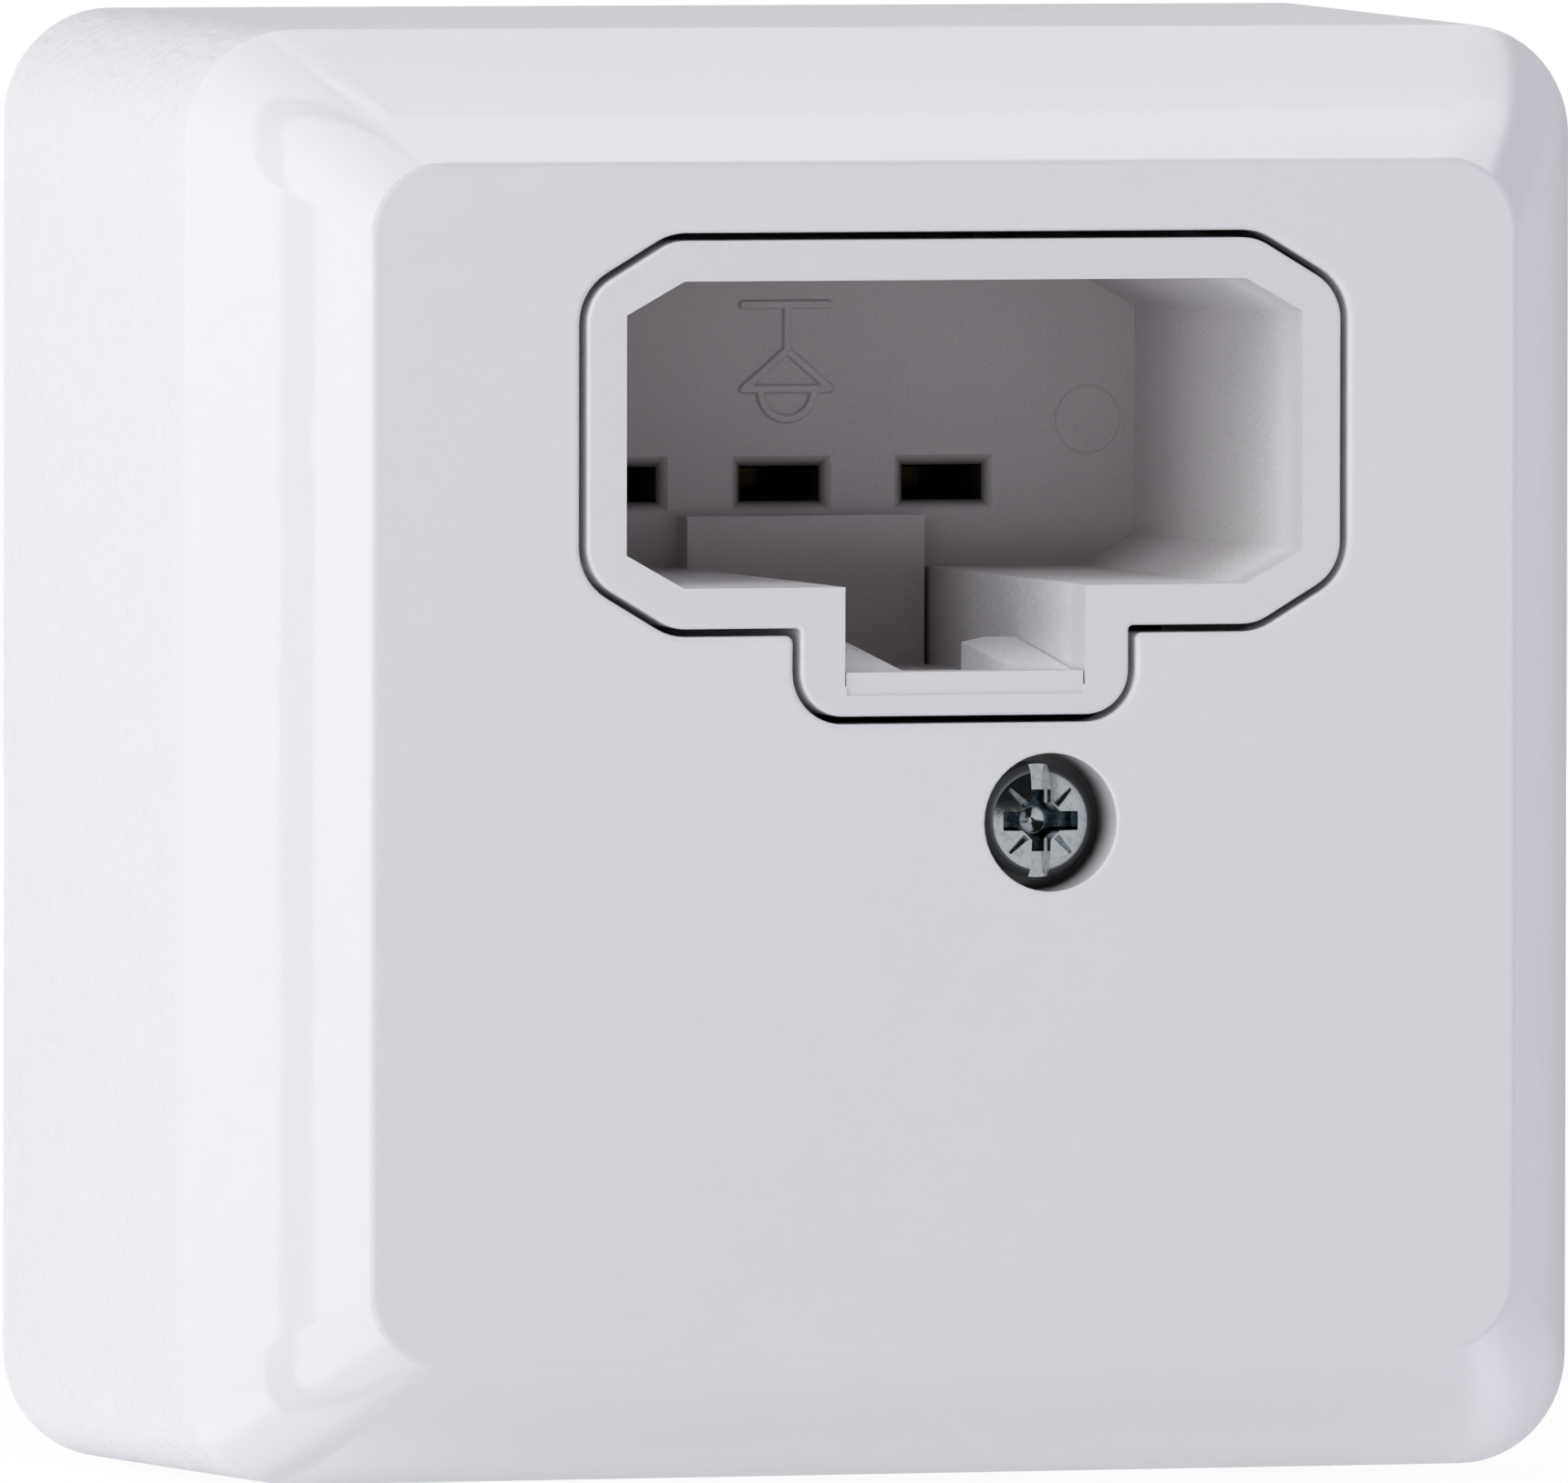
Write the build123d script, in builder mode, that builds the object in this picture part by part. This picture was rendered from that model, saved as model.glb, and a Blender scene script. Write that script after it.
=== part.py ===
"""Surface-mounted wall lamp outlet with a plug-in luminaire socket.

Frame: X to the right, Z up, the front looks along -Y.  The wall face is the
plane Y = 0, and a level is a distance from the wall towards the front.
All sizes are in millimetres.
"""
import os
from math import sqrt

from build123d import *

os.makedirs("parts", exist_ok=True)

# Front shell
SHELL_SIZE = 85.0
SHELL_DEPTH = 49.4
SHELL_WALL = 2.4
SIDE_DRAFT = 0.6
RIM_CORNER = 6.5
BEVEL_DEPTH = 13.0
BEVEL_BULGE = 0.45
BEVEL_STEPS = 4
PLATE_SIZE = 69.8
PLATE_CORNER = 4.3
PLATE_EDGE_RADIUS = 0.45
PLATE_THICKNESS = 2.5
APERTURE_EDGE_RADIUS = 0.35
APERTURE_ROOT_RADIUS = 0.45

# Socket moulding: an octagon with a tab below it
SOCKET_X = 1.12
SOCKET_Z = 19.08
FRAME_WIDTH = 46.06
FRAME_HEIGHT = 22.6
FRAME_CHAMFER_X = 5.2
FRAME_CHAMFER_Z = 3.1
FRAME_CORNER_RADIUS = 3.0
FRAME_WALL = 2.37
FRAME_EDGE_RADIUS = 0.25
SOCKET_GAP = 0.44
TAB_WIDTH = 20.05
TAB_DROP = 5.18
TAB_WALL = 2.68
TAB_CORNER_RADIUS = 2.6
TAB_ROOT_RADIUS = 0.3
CAVITY_CHAMFER_X = 3.5
CAVITY_CHAMFER_Z = 1.95
CAVITY_TOP_DRAFT = 0.6
HOUSING_BACK_WALL = 2.0

# Contact slots in the bottom of the cavity
POLES = ("line", "earth", "neutral")
POLE_PITCH = 10.1
POLE_ROW_X = -0.2
SLOT_WIDTH = 4.95
SLOT_HEIGHT = 2.1
SLOT_DROP = 4.0
SLOT_FUNNEL = 0.6
SLOT_FUNNEL_DEPTH = 0.5
KEY_PAD_DEPTH = 2.0
KEY_PAD_RISE = 3.1
KEY_PAD_SHIFT = -0.4

# Latch bar that closes the bottom of the tab
LATCH_THICKNESS = 1.76
LATCH_DEPTH = 13.1
LATCH_BAR_HEIGHT = 0.8
LATCH_BAR_DEPTH = 2.5
LATCH_BAR_STEP = 0.52
LATCH_BAR_SETBACK = 0.12
LATCH_LUG_RISE = 1.5
LATCH_LEFT_LUG_WIDTH = 4.2
LATCH_RIGHT_LUG_WIDTH = 3.35
LATCH_LUG_CHAMFER = 1.45
LATCH_LUG_CHAMFER_DROP = 0.3
LATCH_LUG_FADE = 0.05
LATCH_SIDE_GAP = 0.1

# Cover screw and the column that it screws into
SCREW_X = 6.4
SCREW_DROP = 6.3
RECESS_RADIUS = 4.05
RECESS_EDGE_RADIUS = 0.2
RECESS_WALL = 1.4
RECESS_FLOOR = 1.8
HEAD_RADIUS = 3.32
HEAD_HEIGHT = 2.3
HEAD_DOME = 0.35
HEAD_BREAK = 0.45
HEAD_SINK = 1.85
SCREW_RADIUS = 1.75
SCREW_LENGTH = 15.0
SCREW_CLEARANCE = 0.2
SCREW_POINT_LENGTH = 0.8
SCREW_POINT_STEP = 0.5
SCREW_TIP_GAP = 1.0
DRIVE_SLOT_WIDTH = 1.15
DRIVE_SLOT_DEPTH = 0.7
DRIVE_CROSS_SPAN = 4.6
DRIVE_CROSS_RISE = 3.8
DRIVE_CROSS_WIDTH = 1.15
DRIVE_CROSS_DEPTH = 1.5
DRIVE_CROSS_TAPER = 5.0
DRIVE_CENTRE_SIZE = 2.4
DRIVE_PIT_RADIUS = 0.75
DRIVE_PIT_DEPTH = 0.3
TICK_START = 1.3
TICK_END = 2.65
TICK_DEPTH = 0.5
TICK_HALF_WIDTH = 0.24
COLUMN_RADIUS = 4.0
COLUMN_GAP = 0.9
COLUMN_RIB = 1.6
COLUMN_RIB_REACH = 5.0
COLUMN_RIB_SHARE = 0.75
COLUMN_RIB_OVERLAP = 0.3
BUSH_RADIUS = 2.6
BUSH_LENGTH = 8.0
BUSH_GROOVE_DEPTH = 0.3
BUSH_GROOVE_WIDTH = 1.0
THREAD_CLEARANCE = 0.02
RETAINER_RADIUS = 3.0
RETAINER_THICKNESS = 0.5

# Wall plate
BASE_THICKNESS = 2.6
BASE_GAP = 0.4
BASE_RIM_HEIGHT = 5.0
BASE_RIM_WALL = 1.6
BASE_POCKET_DEPTH = 1.2
BASE_POCKET_SIZE = 28.0
BASE_POCKET_OFFSET = 19.0
FIXING_SPACING = 60.0
FIXING_WIDTH = 4.2
FIXING_LENGTH = 9.0
CABLE_ROOM_GAP = 1.4
CABLE_LAND = 2.4

# Cable grommet
GROMMET_WALL = 1.8
GROMMET_FLANGE = 1.2
GROMMET_LIP = 1.0
GROMMET_FIT = 0.1
GROMMET_CONE_HEIGHT = 3.5
GROMMET_CONE_WALL = 0.8

# Terminal block, its back insulator and its two screws
INSULATOR_THICKNESS = 1.4
BLOCK_DEPTH = 11.4
BLOCK_WALL = 1.6
BLOCK_BOTTOM = -21.5
BLOCK_CORNER = 2.0
BLOCK_TOP_INSET = 1.0
CHAMBER_WIDTH = 7.0
CHAMBER_TOP_GAP = 0.5
BLOCK_SCREW_DROP = 4.0
BLOCK_SCREW_INSET = 4.0
BLOCK_SCREW_RADIUS = 1.45
BLOCK_SCREW_HEAD = 2.7
BLOCK_SCREW_HEAD_HEIGHT = 1.9
BLOCK_SCREW_LENGTH = 11.5
BLOCK_SCREW_SLOT = 0.8
BLOCK_SCREW_SINK = 1.2
BOSS_RADIUS = 2.8
BOSS_HEIGHT = 5.0
BOSS_GAP = 0.25

# Snap tongues that hold the socket moulding on the block
TONGUE_WIDTH = 7.0
TONGUE_THICKNESS = 1.4
TONGUE_LENGTH = 6.5
TONGUE_HOOK = 0.7
TONGUE_GAP = 0.15

# Contacts and their clamp springs
STRIP_THICKNESS = 0.8
STRIP_WIDTH = 4.8
STRIP_GAP = 0.1
LEG_GAP = 2.0
JAW_OPENING = 1.4
JAW_FOOT = 3.3
JAW_LENGTH = 6.4
JAW_FLARE = 1.0
SPRING_THICKNESS = 0.4
SPRING_WIDTH = 5.6
SPRING_LOOP_RADIUS = 2.0
SPRING_LOOP_GAP = 0.6
SPRING_TONGUE_DROP = 1.8

# Release buttons and wire entries
BUTTON_RISE = 10.0
BUTTON_WIDTH = 4.6
BUTTON_HEIGHT = 3.4
BUTTON_PROUD = 1.9
BUTTON_GAP = 0.2
BUTTON_SHOULDER = 0.7
BUTTON_SHOULDER_THICKNESS = 0.9
BUTTON_STOP_GAP = 0.2
BUTTON_FOOT_GAP = 0.3
BUTTON_CORNER = 0.5
BUTTON_SLOT_WIDTH = 3.1
BUTTON_SLOT_HEIGHT = 0.8
WIRE_RISE = 3.9
WIRE_RADIUS = 1.3
WIRE_PITCH = 3.4
WIRE_FUNNEL = 0.35

# Levels that several pieces share
insulator_front = BASE_THICKNESS + INSULATOR_THICKNESS
block_front = insulator_front + BLOCK_DEPTH
cavity_floor = block_front + HOUSING_BACK_WALL
chamber_roof = block_front - BLOCK_WALL
rim_level = SHELL_DEPTH - BEVEL_DEPTH
frame_bottom = SOCKET_Z - FRAME_HEIGHT / 2
tab_bottom = frame_bottom - TAB_DROP
mouth_width = FRAME_WIDTH - 2 * FRAME_WALL
mouth_height = FRAME_HEIGHT - 2 * FRAME_WALL
mouth_bottom = SOCKET_Z - mouth_height / 2
key_width = TAB_WIDTH - 2 * TAB_WALL
latch_top = tab_bottom + LATCH_THICKNESS
slot_z = SOCKET_Z - SLOT_DROP
screw_z = tab_bottom - SCREW_DROP
seat_level = SHELL_DEPTH - HEAD_SINK - HEAD_HEIGHT
recess_underside = seat_level - RECESS_FLOOR
pole_places = {name: POLE_ROW_X + (i - 1) * POLE_PITCH for i, name in enumerate(POLES)}


def level(distance):
    """Sketch plane at a distance from the wall, seen from the front."""
    return Plane.XZ.offset(distance)


def side_plane(x):
    """Sketch plane across X: its first axis is Z, its second points to the front."""
    return Plane(origin=(x, 0, 0), x_dir=(0, 0, 1), z_dir=(1, 0, 0))


def octagon_with_tab(width, height, chamfer_x, chamfer_z, tab_width, tab_low, top_drop=0.0):
    """Points of the socket outline, clockwise from its upper left chamfer."""
    right = width / 2
    top = height / 2 - top_drop
    low = -height / 2
    stem = tab_width / 2
    points = [(-right, top - chamfer_z), (-right + chamfer_x, top), (right - chamfer_x, top)]
    points += [(right, top - chamfer_z), (right, low + chamfer_z), (right - chamfer_x, low)]
    points += [(stem, low), (stem, tab_low - SOCKET_Z), (-stem, tab_low - SOCKET_Z), (-stem, low)]
    points += [(-right + chamfer_x, low), (-right, low + chamfer_z)]
    return [(SOCKET_X + x, SOCKET_Z + z) for x, z in points]


def frame_outline(at_level, root_radius=TAB_ROOT_RADIUS, grow=0.0):
    """Outer outline of the socket moulding, grown by a gap for the aperture around it."""
    with BuildSketch(level(at_level)) as outline:
        with BuildLine():
            Polyline(*octagon_with_tab(FRAME_WIDTH, FRAME_HEIGHT, FRAME_CHAMFER_X,
                                       FRAME_CHAMFER_Z, TAB_WIDTH, tab_bottom), close=True)
        make_face()
        if grow:
            offset(amount=grow, kind=Kind.INTERSECTION)
        stem = TAB_WIDTH / 2 + grow + 0.01
        fillet(outline.vertices().filter_by(lambda v: abs(v.X - SOCKET_X) > stem),
               FRAME_CORNER_RADIUS + grow)
        fillet(outline.vertices().group_by(Axis.Y)[0], TAB_CORNER_RADIUS + grow)
        fillet(outline.vertices().filter_by(
            lambda v: abs(v.X - SOCKET_X) < stem and abs(v.Y - frame_bottom + grow) < 0.01),
            root_radius)
    return outline.sketch


# Sections of the shell, from the wall to the front plate: the bevel is a shallow arc
def shell_sections(grow, front_level, plate_half):
    """Levels, half widths and corner radii along the bevel."""
    run = SHELL_SIZE / 2 + grow - plate_half
    rise = front_level - rim_level
    chord = sqrt(run ** 2 + rise ** 2)
    sections = []
    for step in range(BEVEL_STEPS + 1):
        along = step / BEVEL_STEPS
        bulge = 4 * BEVEL_BULGE * along * (1 - along)
        half = SHELL_SIZE / 2 + grow - run * along + bulge * rise / chord
        height = rim_level + rise * along + bulge * run / chord
        corner = RIM_CORNER + grow + (PLATE_CORNER - RIM_CORNER) * along
        sections.append((height, half, corner))
    return sections


bevel_run = (SHELL_SIZE - PLATE_SIZE) / 2
bevel_wall = SHELL_WALL * sqrt(1 + (bevel_run / BEVEL_DEPTH) ** 2)
inner_plate_half = PLATE_SIZE / 2 + PLATE_THICKNESS * bevel_run / BEVEL_DEPTH - bevel_wall
wall_half = SHELL_SIZE / 2 + SIDE_DRAFT

with BuildPart() as cover:
    with BuildSketch(level(0)):
        RectangleRounded(2 * wall_half, 2 * wall_half, RIM_CORNER)
    with BuildSketch(level(rim_level)):
        RectangleRounded(SHELL_SIZE, SHELL_SIZE, RIM_CORNER)
    loft(ruled=True)
    for height, half, corner in shell_sections(0, SHELL_DEPTH, PLATE_SIZE / 2):
        with BuildSketch(level(height)):
            RectangleRounded(2 * half, 2 * half, corner)
    loft()
    plate_rim = cover.faces().sort_by(Axis.Y)[0].edges()
    fillet(plate_rim, PLATE_EDGE_RADIUS)
    with BuildSketch(level(0)):
        RectangleRounded(2 * (wall_half - SHELL_WALL), 2 * (wall_half - SHELL_WALL),
                         RIM_CORNER - SHELL_WALL)
    with BuildSketch(level(rim_level)):
        RectangleRounded(SHELL_SIZE - 2 * SHELL_WALL, SHELL_SIZE - 2 * SHELL_WALL,
                         RIM_CORNER - SHELL_WALL)
    loft(ruled=True, mode=Mode.SUBTRACT)
    for height, half, corner in shell_sections(-SHELL_WALL, SHELL_DEPTH - PLATE_THICKNESS,
                                               inner_plate_half):
        with BuildSketch(level(height)):
            RectangleRounded(2 * half, 2 * half, corner)
    loft(mode=Mode.SUBTRACT)
    with BuildSketch(level(recess_underside)):
        with Locations((SCREW_X, screw_z)):
            Circle(RECESS_RADIUS + RECESS_WALL)
    extrude(amount=SHELL_DEPTH - PLATE_THICKNESS / 2 - recess_underside)
    with BuildSketch(level(seat_level)):
        with Locations((SCREW_X, screw_z)):
            Circle(RECESS_RADIUS)
    extrude(amount=SHELL_DEPTH - seat_level, mode=Mode.SUBTRACT)
    with BuildSketch(level(recess_underside)):
        with Locations((SCREW_X, screw_z)):
            Circle(SCREW_RADIUS + SCREW_CLEARANCE)
    extrude(amount=RECESS_FLOOR, mode=Mode.SUBTRACT)
    extrude(frame_outline(SHELL_DEPTH, APERTURE_ROOT_RADIUS, SOCKET_GAP),
            amount=-2 * PLATE_THICKNESS, mode=Mode.SUBTRACT)
    openings = cover.faces().sort_by(Axis.Y)[0].inner_wires().sort_by(SortBy.LENGTH)
    fillet(openings[0].edges(), RECESS_EDGE_RADIUS)
    openings = cover.faces().sort_by(Axis.Y)[0].inner_wires().sort_by(SortBy.LENGTH)
    fillet(openings[-1].edges(), APERTURE_EDGE_RADIUS)
cover.part.label = "cover"
export_step(cover.part, "parts/cover.step")

# The cover screw: a domed head with a combined slot and cross recess
screw_axis = Axis((SCREW_X, 0, screw_z), (0, -1, 0))
screw_tip = seat_level - SCREW_LENGTH
head_top = seat_level + HEAD_HEIGHT
with BuildPart() as cover_screw:
    with BuildSketch(side_plane(SCREW_X)):
        with BuildLine():
            Polyline((screw_z, head_top), (screw_z, screw_tip),
                     (screw_z + SCREW_RADIUS - SCREW_POINT_STEP, screw_tip),
                     (screw_z + SCREW_RADIUS, screw_tip + SCREW_POINT_LENGTH),
                     (screw_z + SCREW_RADIUS, seat_level), (screw_z + HEAD_RADIUS, seat_level),
                     (screw_z + HEAD_RADIUS, head_top - HEAD_DOME - HEAD_BREAK),
                     (screw_z + HEAD_RADIUS - HEAD_BREAK, head_top - HEAD_DOME))
            TangentArc((screw_z, head_top), (screw_z + HEAD_RADIUS - HEAD_BREAK,
                       head_top - HEAD_DOME), tangent=(1, 0))
        make_face()
    revolve(axis=screw_axis)
    with BuildSketch(level(head_top)):
        with Locations((SCREW_X, screw_z)):
            Rectangle(DRIVE_SLOT_WIDTH, 2.2 * HEAD_RADIUS)
    extrude(amount=-DRIVE_SLOT_DEPTH - HEAD_DOME, mode=Mode.SUBTRACT)
    with BuildSketch(level(head_top)):
        with Locations((SCREW_X, screw_z)):
            Rectangle(DRIVE_CROSS_SPAN, DRIVE_CROSS_WIDTH)
            Rectangle(DRIVE_CROSS_WIDTH, DRIVE_CROSS_RISE)
            Rectangle(DRIVE_CENTRE_SIZE, DRIVE_CENTRE_SIZE, rotation=45)
    extrude(amount=-DRIVE_CROSS_DEPTH - HEAD_DOME, taper=DRIVE_CROSS_TAPER,
            mode=Mode.SUBTRACT)
    drive_floor = head_top - DRIVE_CROSS_DEPTH - HEAD_DOME
    with BuildSketch(side_plane(SCREW_X)):
        with BuildLine():
            Polyline((screw_z, drive_floor), (screw_z + DRIVE_PIT_RADIUS, drive_floor),
                     (screw_z, drive_floor - DRIVE_PIT_DEPTH), close=True)
        make_face()
    revolve(axis=screw_axis, mode=Mode.SUBTRACT)
    for turn in (45, 135, 225, 315):
        out = Vector(1, 0, 0).rotate(Axis.Y, turn)
        tick_plane = Plane(origin=(SCREW_X, -head_top, screw_z), z_dir=out,
                           x_dir=Vector(0, 1, 0).cross(out))
        with BuildSketch(tick_plane.offset(TICK_START)):
            with BuildLine():
                Polyline((-TICK_HALF_WIDTH, 0), (0, TICK_DEPTH), (TICK_HALF_WIDTH, 0),
                         close=True)
            make_face()
        extrude(amount=TICK_END - TICK_START, mode=Mode.SUBTRACT)
cover_screw.part.label = "cover_screw"
export_step(cover_screw.part, "parts/cover_screw.step")

# The captive washer that keeps the screw in the cover
with BuildPart() as screw_retainer:
    with BuildSketch(level(recess_underside - RETAINER_THICKNESS)):
        with Locations((SCREW_X, screw_z)):
            Circle(RETAINER_RADIUS)
            Circle(SCREW_RADIUS + THREAD_CLEARANCE, mode=Mode.SUBTRACT)
    extrude(amount=RETAINER_THICKNESS)
screw_retainer.part.label = "screw_retainer"
export_step(screw_retainer.part, "parts/screw_retainer.step")

# The socket moulding: one tube of T shape with the slotted wall at its back
with BuildPart() as socket_housing:
    extrude(frame_outline(block_front), amount=SHELL_DEPTH - block_front)
    fillet(socket_housing.faces().sort_by(Axis.Y)[0].edges(), FRAME_EDGE_RADIUS)
    for at_level, draft in ((cavity_floor, CAVITY_TOP_DRAFT), (SHELL_DEPTH, 0.0)):
        with BuildSketch(level(at_level)):
            with BuildLine():
                Polyline(*octagon_with_tab(mouth_width, mouth_height, CAVITY_CHAMFER_X,
                                           CAVITY_CHAMFER_Z, key_width, latch_top, draft),
                         close=True)
            make_face()
    loft(ruled=True, mode=Mode.SUBTRACT)
    pad_top = mouth_bottom + KEY_PAD_RISE
    with BuildSketch(level(cavity_floor)):
        with Locations((SOCKET_X + KEY_PAD_SHIFT, (pad_top + latch_top) / 2)):
            Rectangle(key_width, pad_top - latch_top)
    extrude(amount=KEY_PAD_DEPTH)
    slot_places = [(x, slot_z) for x in pole_places.values()]
    with BuildSketch(level(block_front)):
        with Locations(*slot_places):
            Rectangle(SLOT_WIDTH, SLOT_HEIGHT)
    extrude(amount=HOUSING_BACK_WALL, mode=Mode.SUBTRACT)
    for place in slot_places:
        for back_off, widen in ((SLOT_FUNNEL_DEPTH, 0.0), (0.0, SLOT_FUNNEL)):
            with BuildSketch(level(cavity_floor - back_off)):
                with Locations(place):
                    Rectangle(SLOT_WIDTH + 2 * widen, SLOT_HEIGHT + 2 * widen)
        loft(ruled=True, mode=Mode.SUBTRACT)
    with BuildSketch(level(SHELL_DEPTH)):
        with Locations((SOCKET_X, tab_bottom)):
            Rectangle(2 * TAB_WIDTH, 2 * LATCH_THICKNESS)
    extrude(amount=-LATCH_DEPTH, mode=Mode.SUBTRACT)
    for side in (-1, 1):
        outer = FRAME_WIDTH / 2
        with BuildSketch(level(block_front - TONGUE_LENGTH)):
            with Locations((SOCKET_X + side * (outer - TONGUE_THICKNESS / 2), SOCKET_Z)):
                Rectangle(TONGUE_THICKNESS, TONGUE_WIDTH)
        extrude(amount=TONGUE_LENGTH)
        with BuildSketch(level(block_front - TONGUE_LENGTH)):
            with Locations((SOCKET_X + side * (outer - TONGUE_THICKNESS), SOCKET_Z)):
                Rectangle(2 * TONGUE_HOOK, TONGUE_WIDTH)
        extrude(amount=TONGUE_THICKNESS)
socket_housing.part.label = "socket_housing"
export_step(socket_housing.part, "parts/socket_housing.step")

# The latch bar: a shoe under the tab, with the bar and the two ramps that the plug rides over
latch_back = SHELL_DEPTH - LATCH_DEPTH
bar_back = SHELL_DEPTH - LATCH_BAR_DEPTH
bar_half = key_width / 2 - LATCH_SIDE_GAP
bar_low = latch_top - LATCH_BAR_STEP
with BuildPart() as latch_bar:
    extrude(frame_outline(latch_back), amount=LATCH_DEPTH)
    fillet(latch_bar.faces().sort_by(Axis.Y)[0].edges(), FRAME_EDGE_RADIUS)
    with BuildSketch(level(latch_back)):
        with Locations((SOCKET_X, latch_top - LATCH_THICKNESS)):
            Rectangle(2 * TAB_WIDTH, 2 * LATCH_THICKNESS)
    extrude(amount=LATCH_DEPTH, mode=Mode.INTERSECT)
    with BuildSketch(level(SHELL_DEPTH)):
        with Locations((SOCKET_X, latch_top)):
            Rectangle(2 * bar_half, 2 * LATCH_BAR_STEP)
    extrude(amount=-LATCH_BAR_SETBACK, mode=Mode.SUBTRACT)
    with BuildSketch(level(bar_back)):
        with Locations((SOCKET_X, (bar_low + latch_top + LATCH_BAR_HEIGHT) / 2)):
            Rectangle(2 * bar_half, LATCH_BAR_HEIGHT + LATCH_BAR_STEP)
    extrude(amount=LATCH_BAR_DEPTH - LATCH_BAR_SETBACK)
    for side, width in ((-1, LATCH_LEFT_LUG_WIDTH), (1, LATCH_RIGHT_LUG_WIDTH)):
        for at_level, rise, chamfer_share in ((latch_back, LATCH_LUG_RISE, 1.0),
                                              (bar_back, 0.0, LATCH_LUG_FADE)):
            crest = latch_top + LATCH_BAR_HEIGHT + rise
            wall_x = SOCKET_X + side * bar_half
            foot_x = wall_x - side * width
            with BuildSketch(level(at_level)):
                with BuildLine():
                    Polyline((wall_x, latch_top), (wall_x, crest),
                             (foot_x + side * LATCH_LUG_CHAMFER * chamfer_share, crest),
                             (foot_x, crest - LATCH_LUG_CHAMFER_DROP * chamfer_share),
                             (foot_x, latch_top), close=True)
                make_face()
        loft(ruled=True)
latch_bar.part.label = "latch_bar"
export_step(latch_bar.part, "parts/latch_bar.step")

# The terminal block: chambers open to the back, and the column for the cover screw
block_top = SOCKET_Z + FRAME_HEIGHT / 2 - BLOCK_TOP_INSET
block_middle = (block_top + BLOCK_BOTTOM) / 2
chamber_bottom = BLOCK_BOTTOM + BLOCK_WALL
chamber_top = slot_z + JAW_FOOT + STRIP_THICKNESS / 2 + CHAMBER_TOP_GAP
column_top = recess_underside - COLUMN_GAP
button_z = BLOCK_BOTTOM + BUTTON_RISE
wire_z = BLOCK_BOTTOM + WIRE_RISE
block_screws = {"left": SOCKET_X - FRAME_WIDTH / 2 + BLOCK_SCREW_INSET,
                "right": SOCKET_X + FRAME_WIDTH / 2 - BLOCK_SCREW_INSET}
boss_places = [(x, -BLOCK_SCREW_DROP) for x in block_screws.values()]
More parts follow.
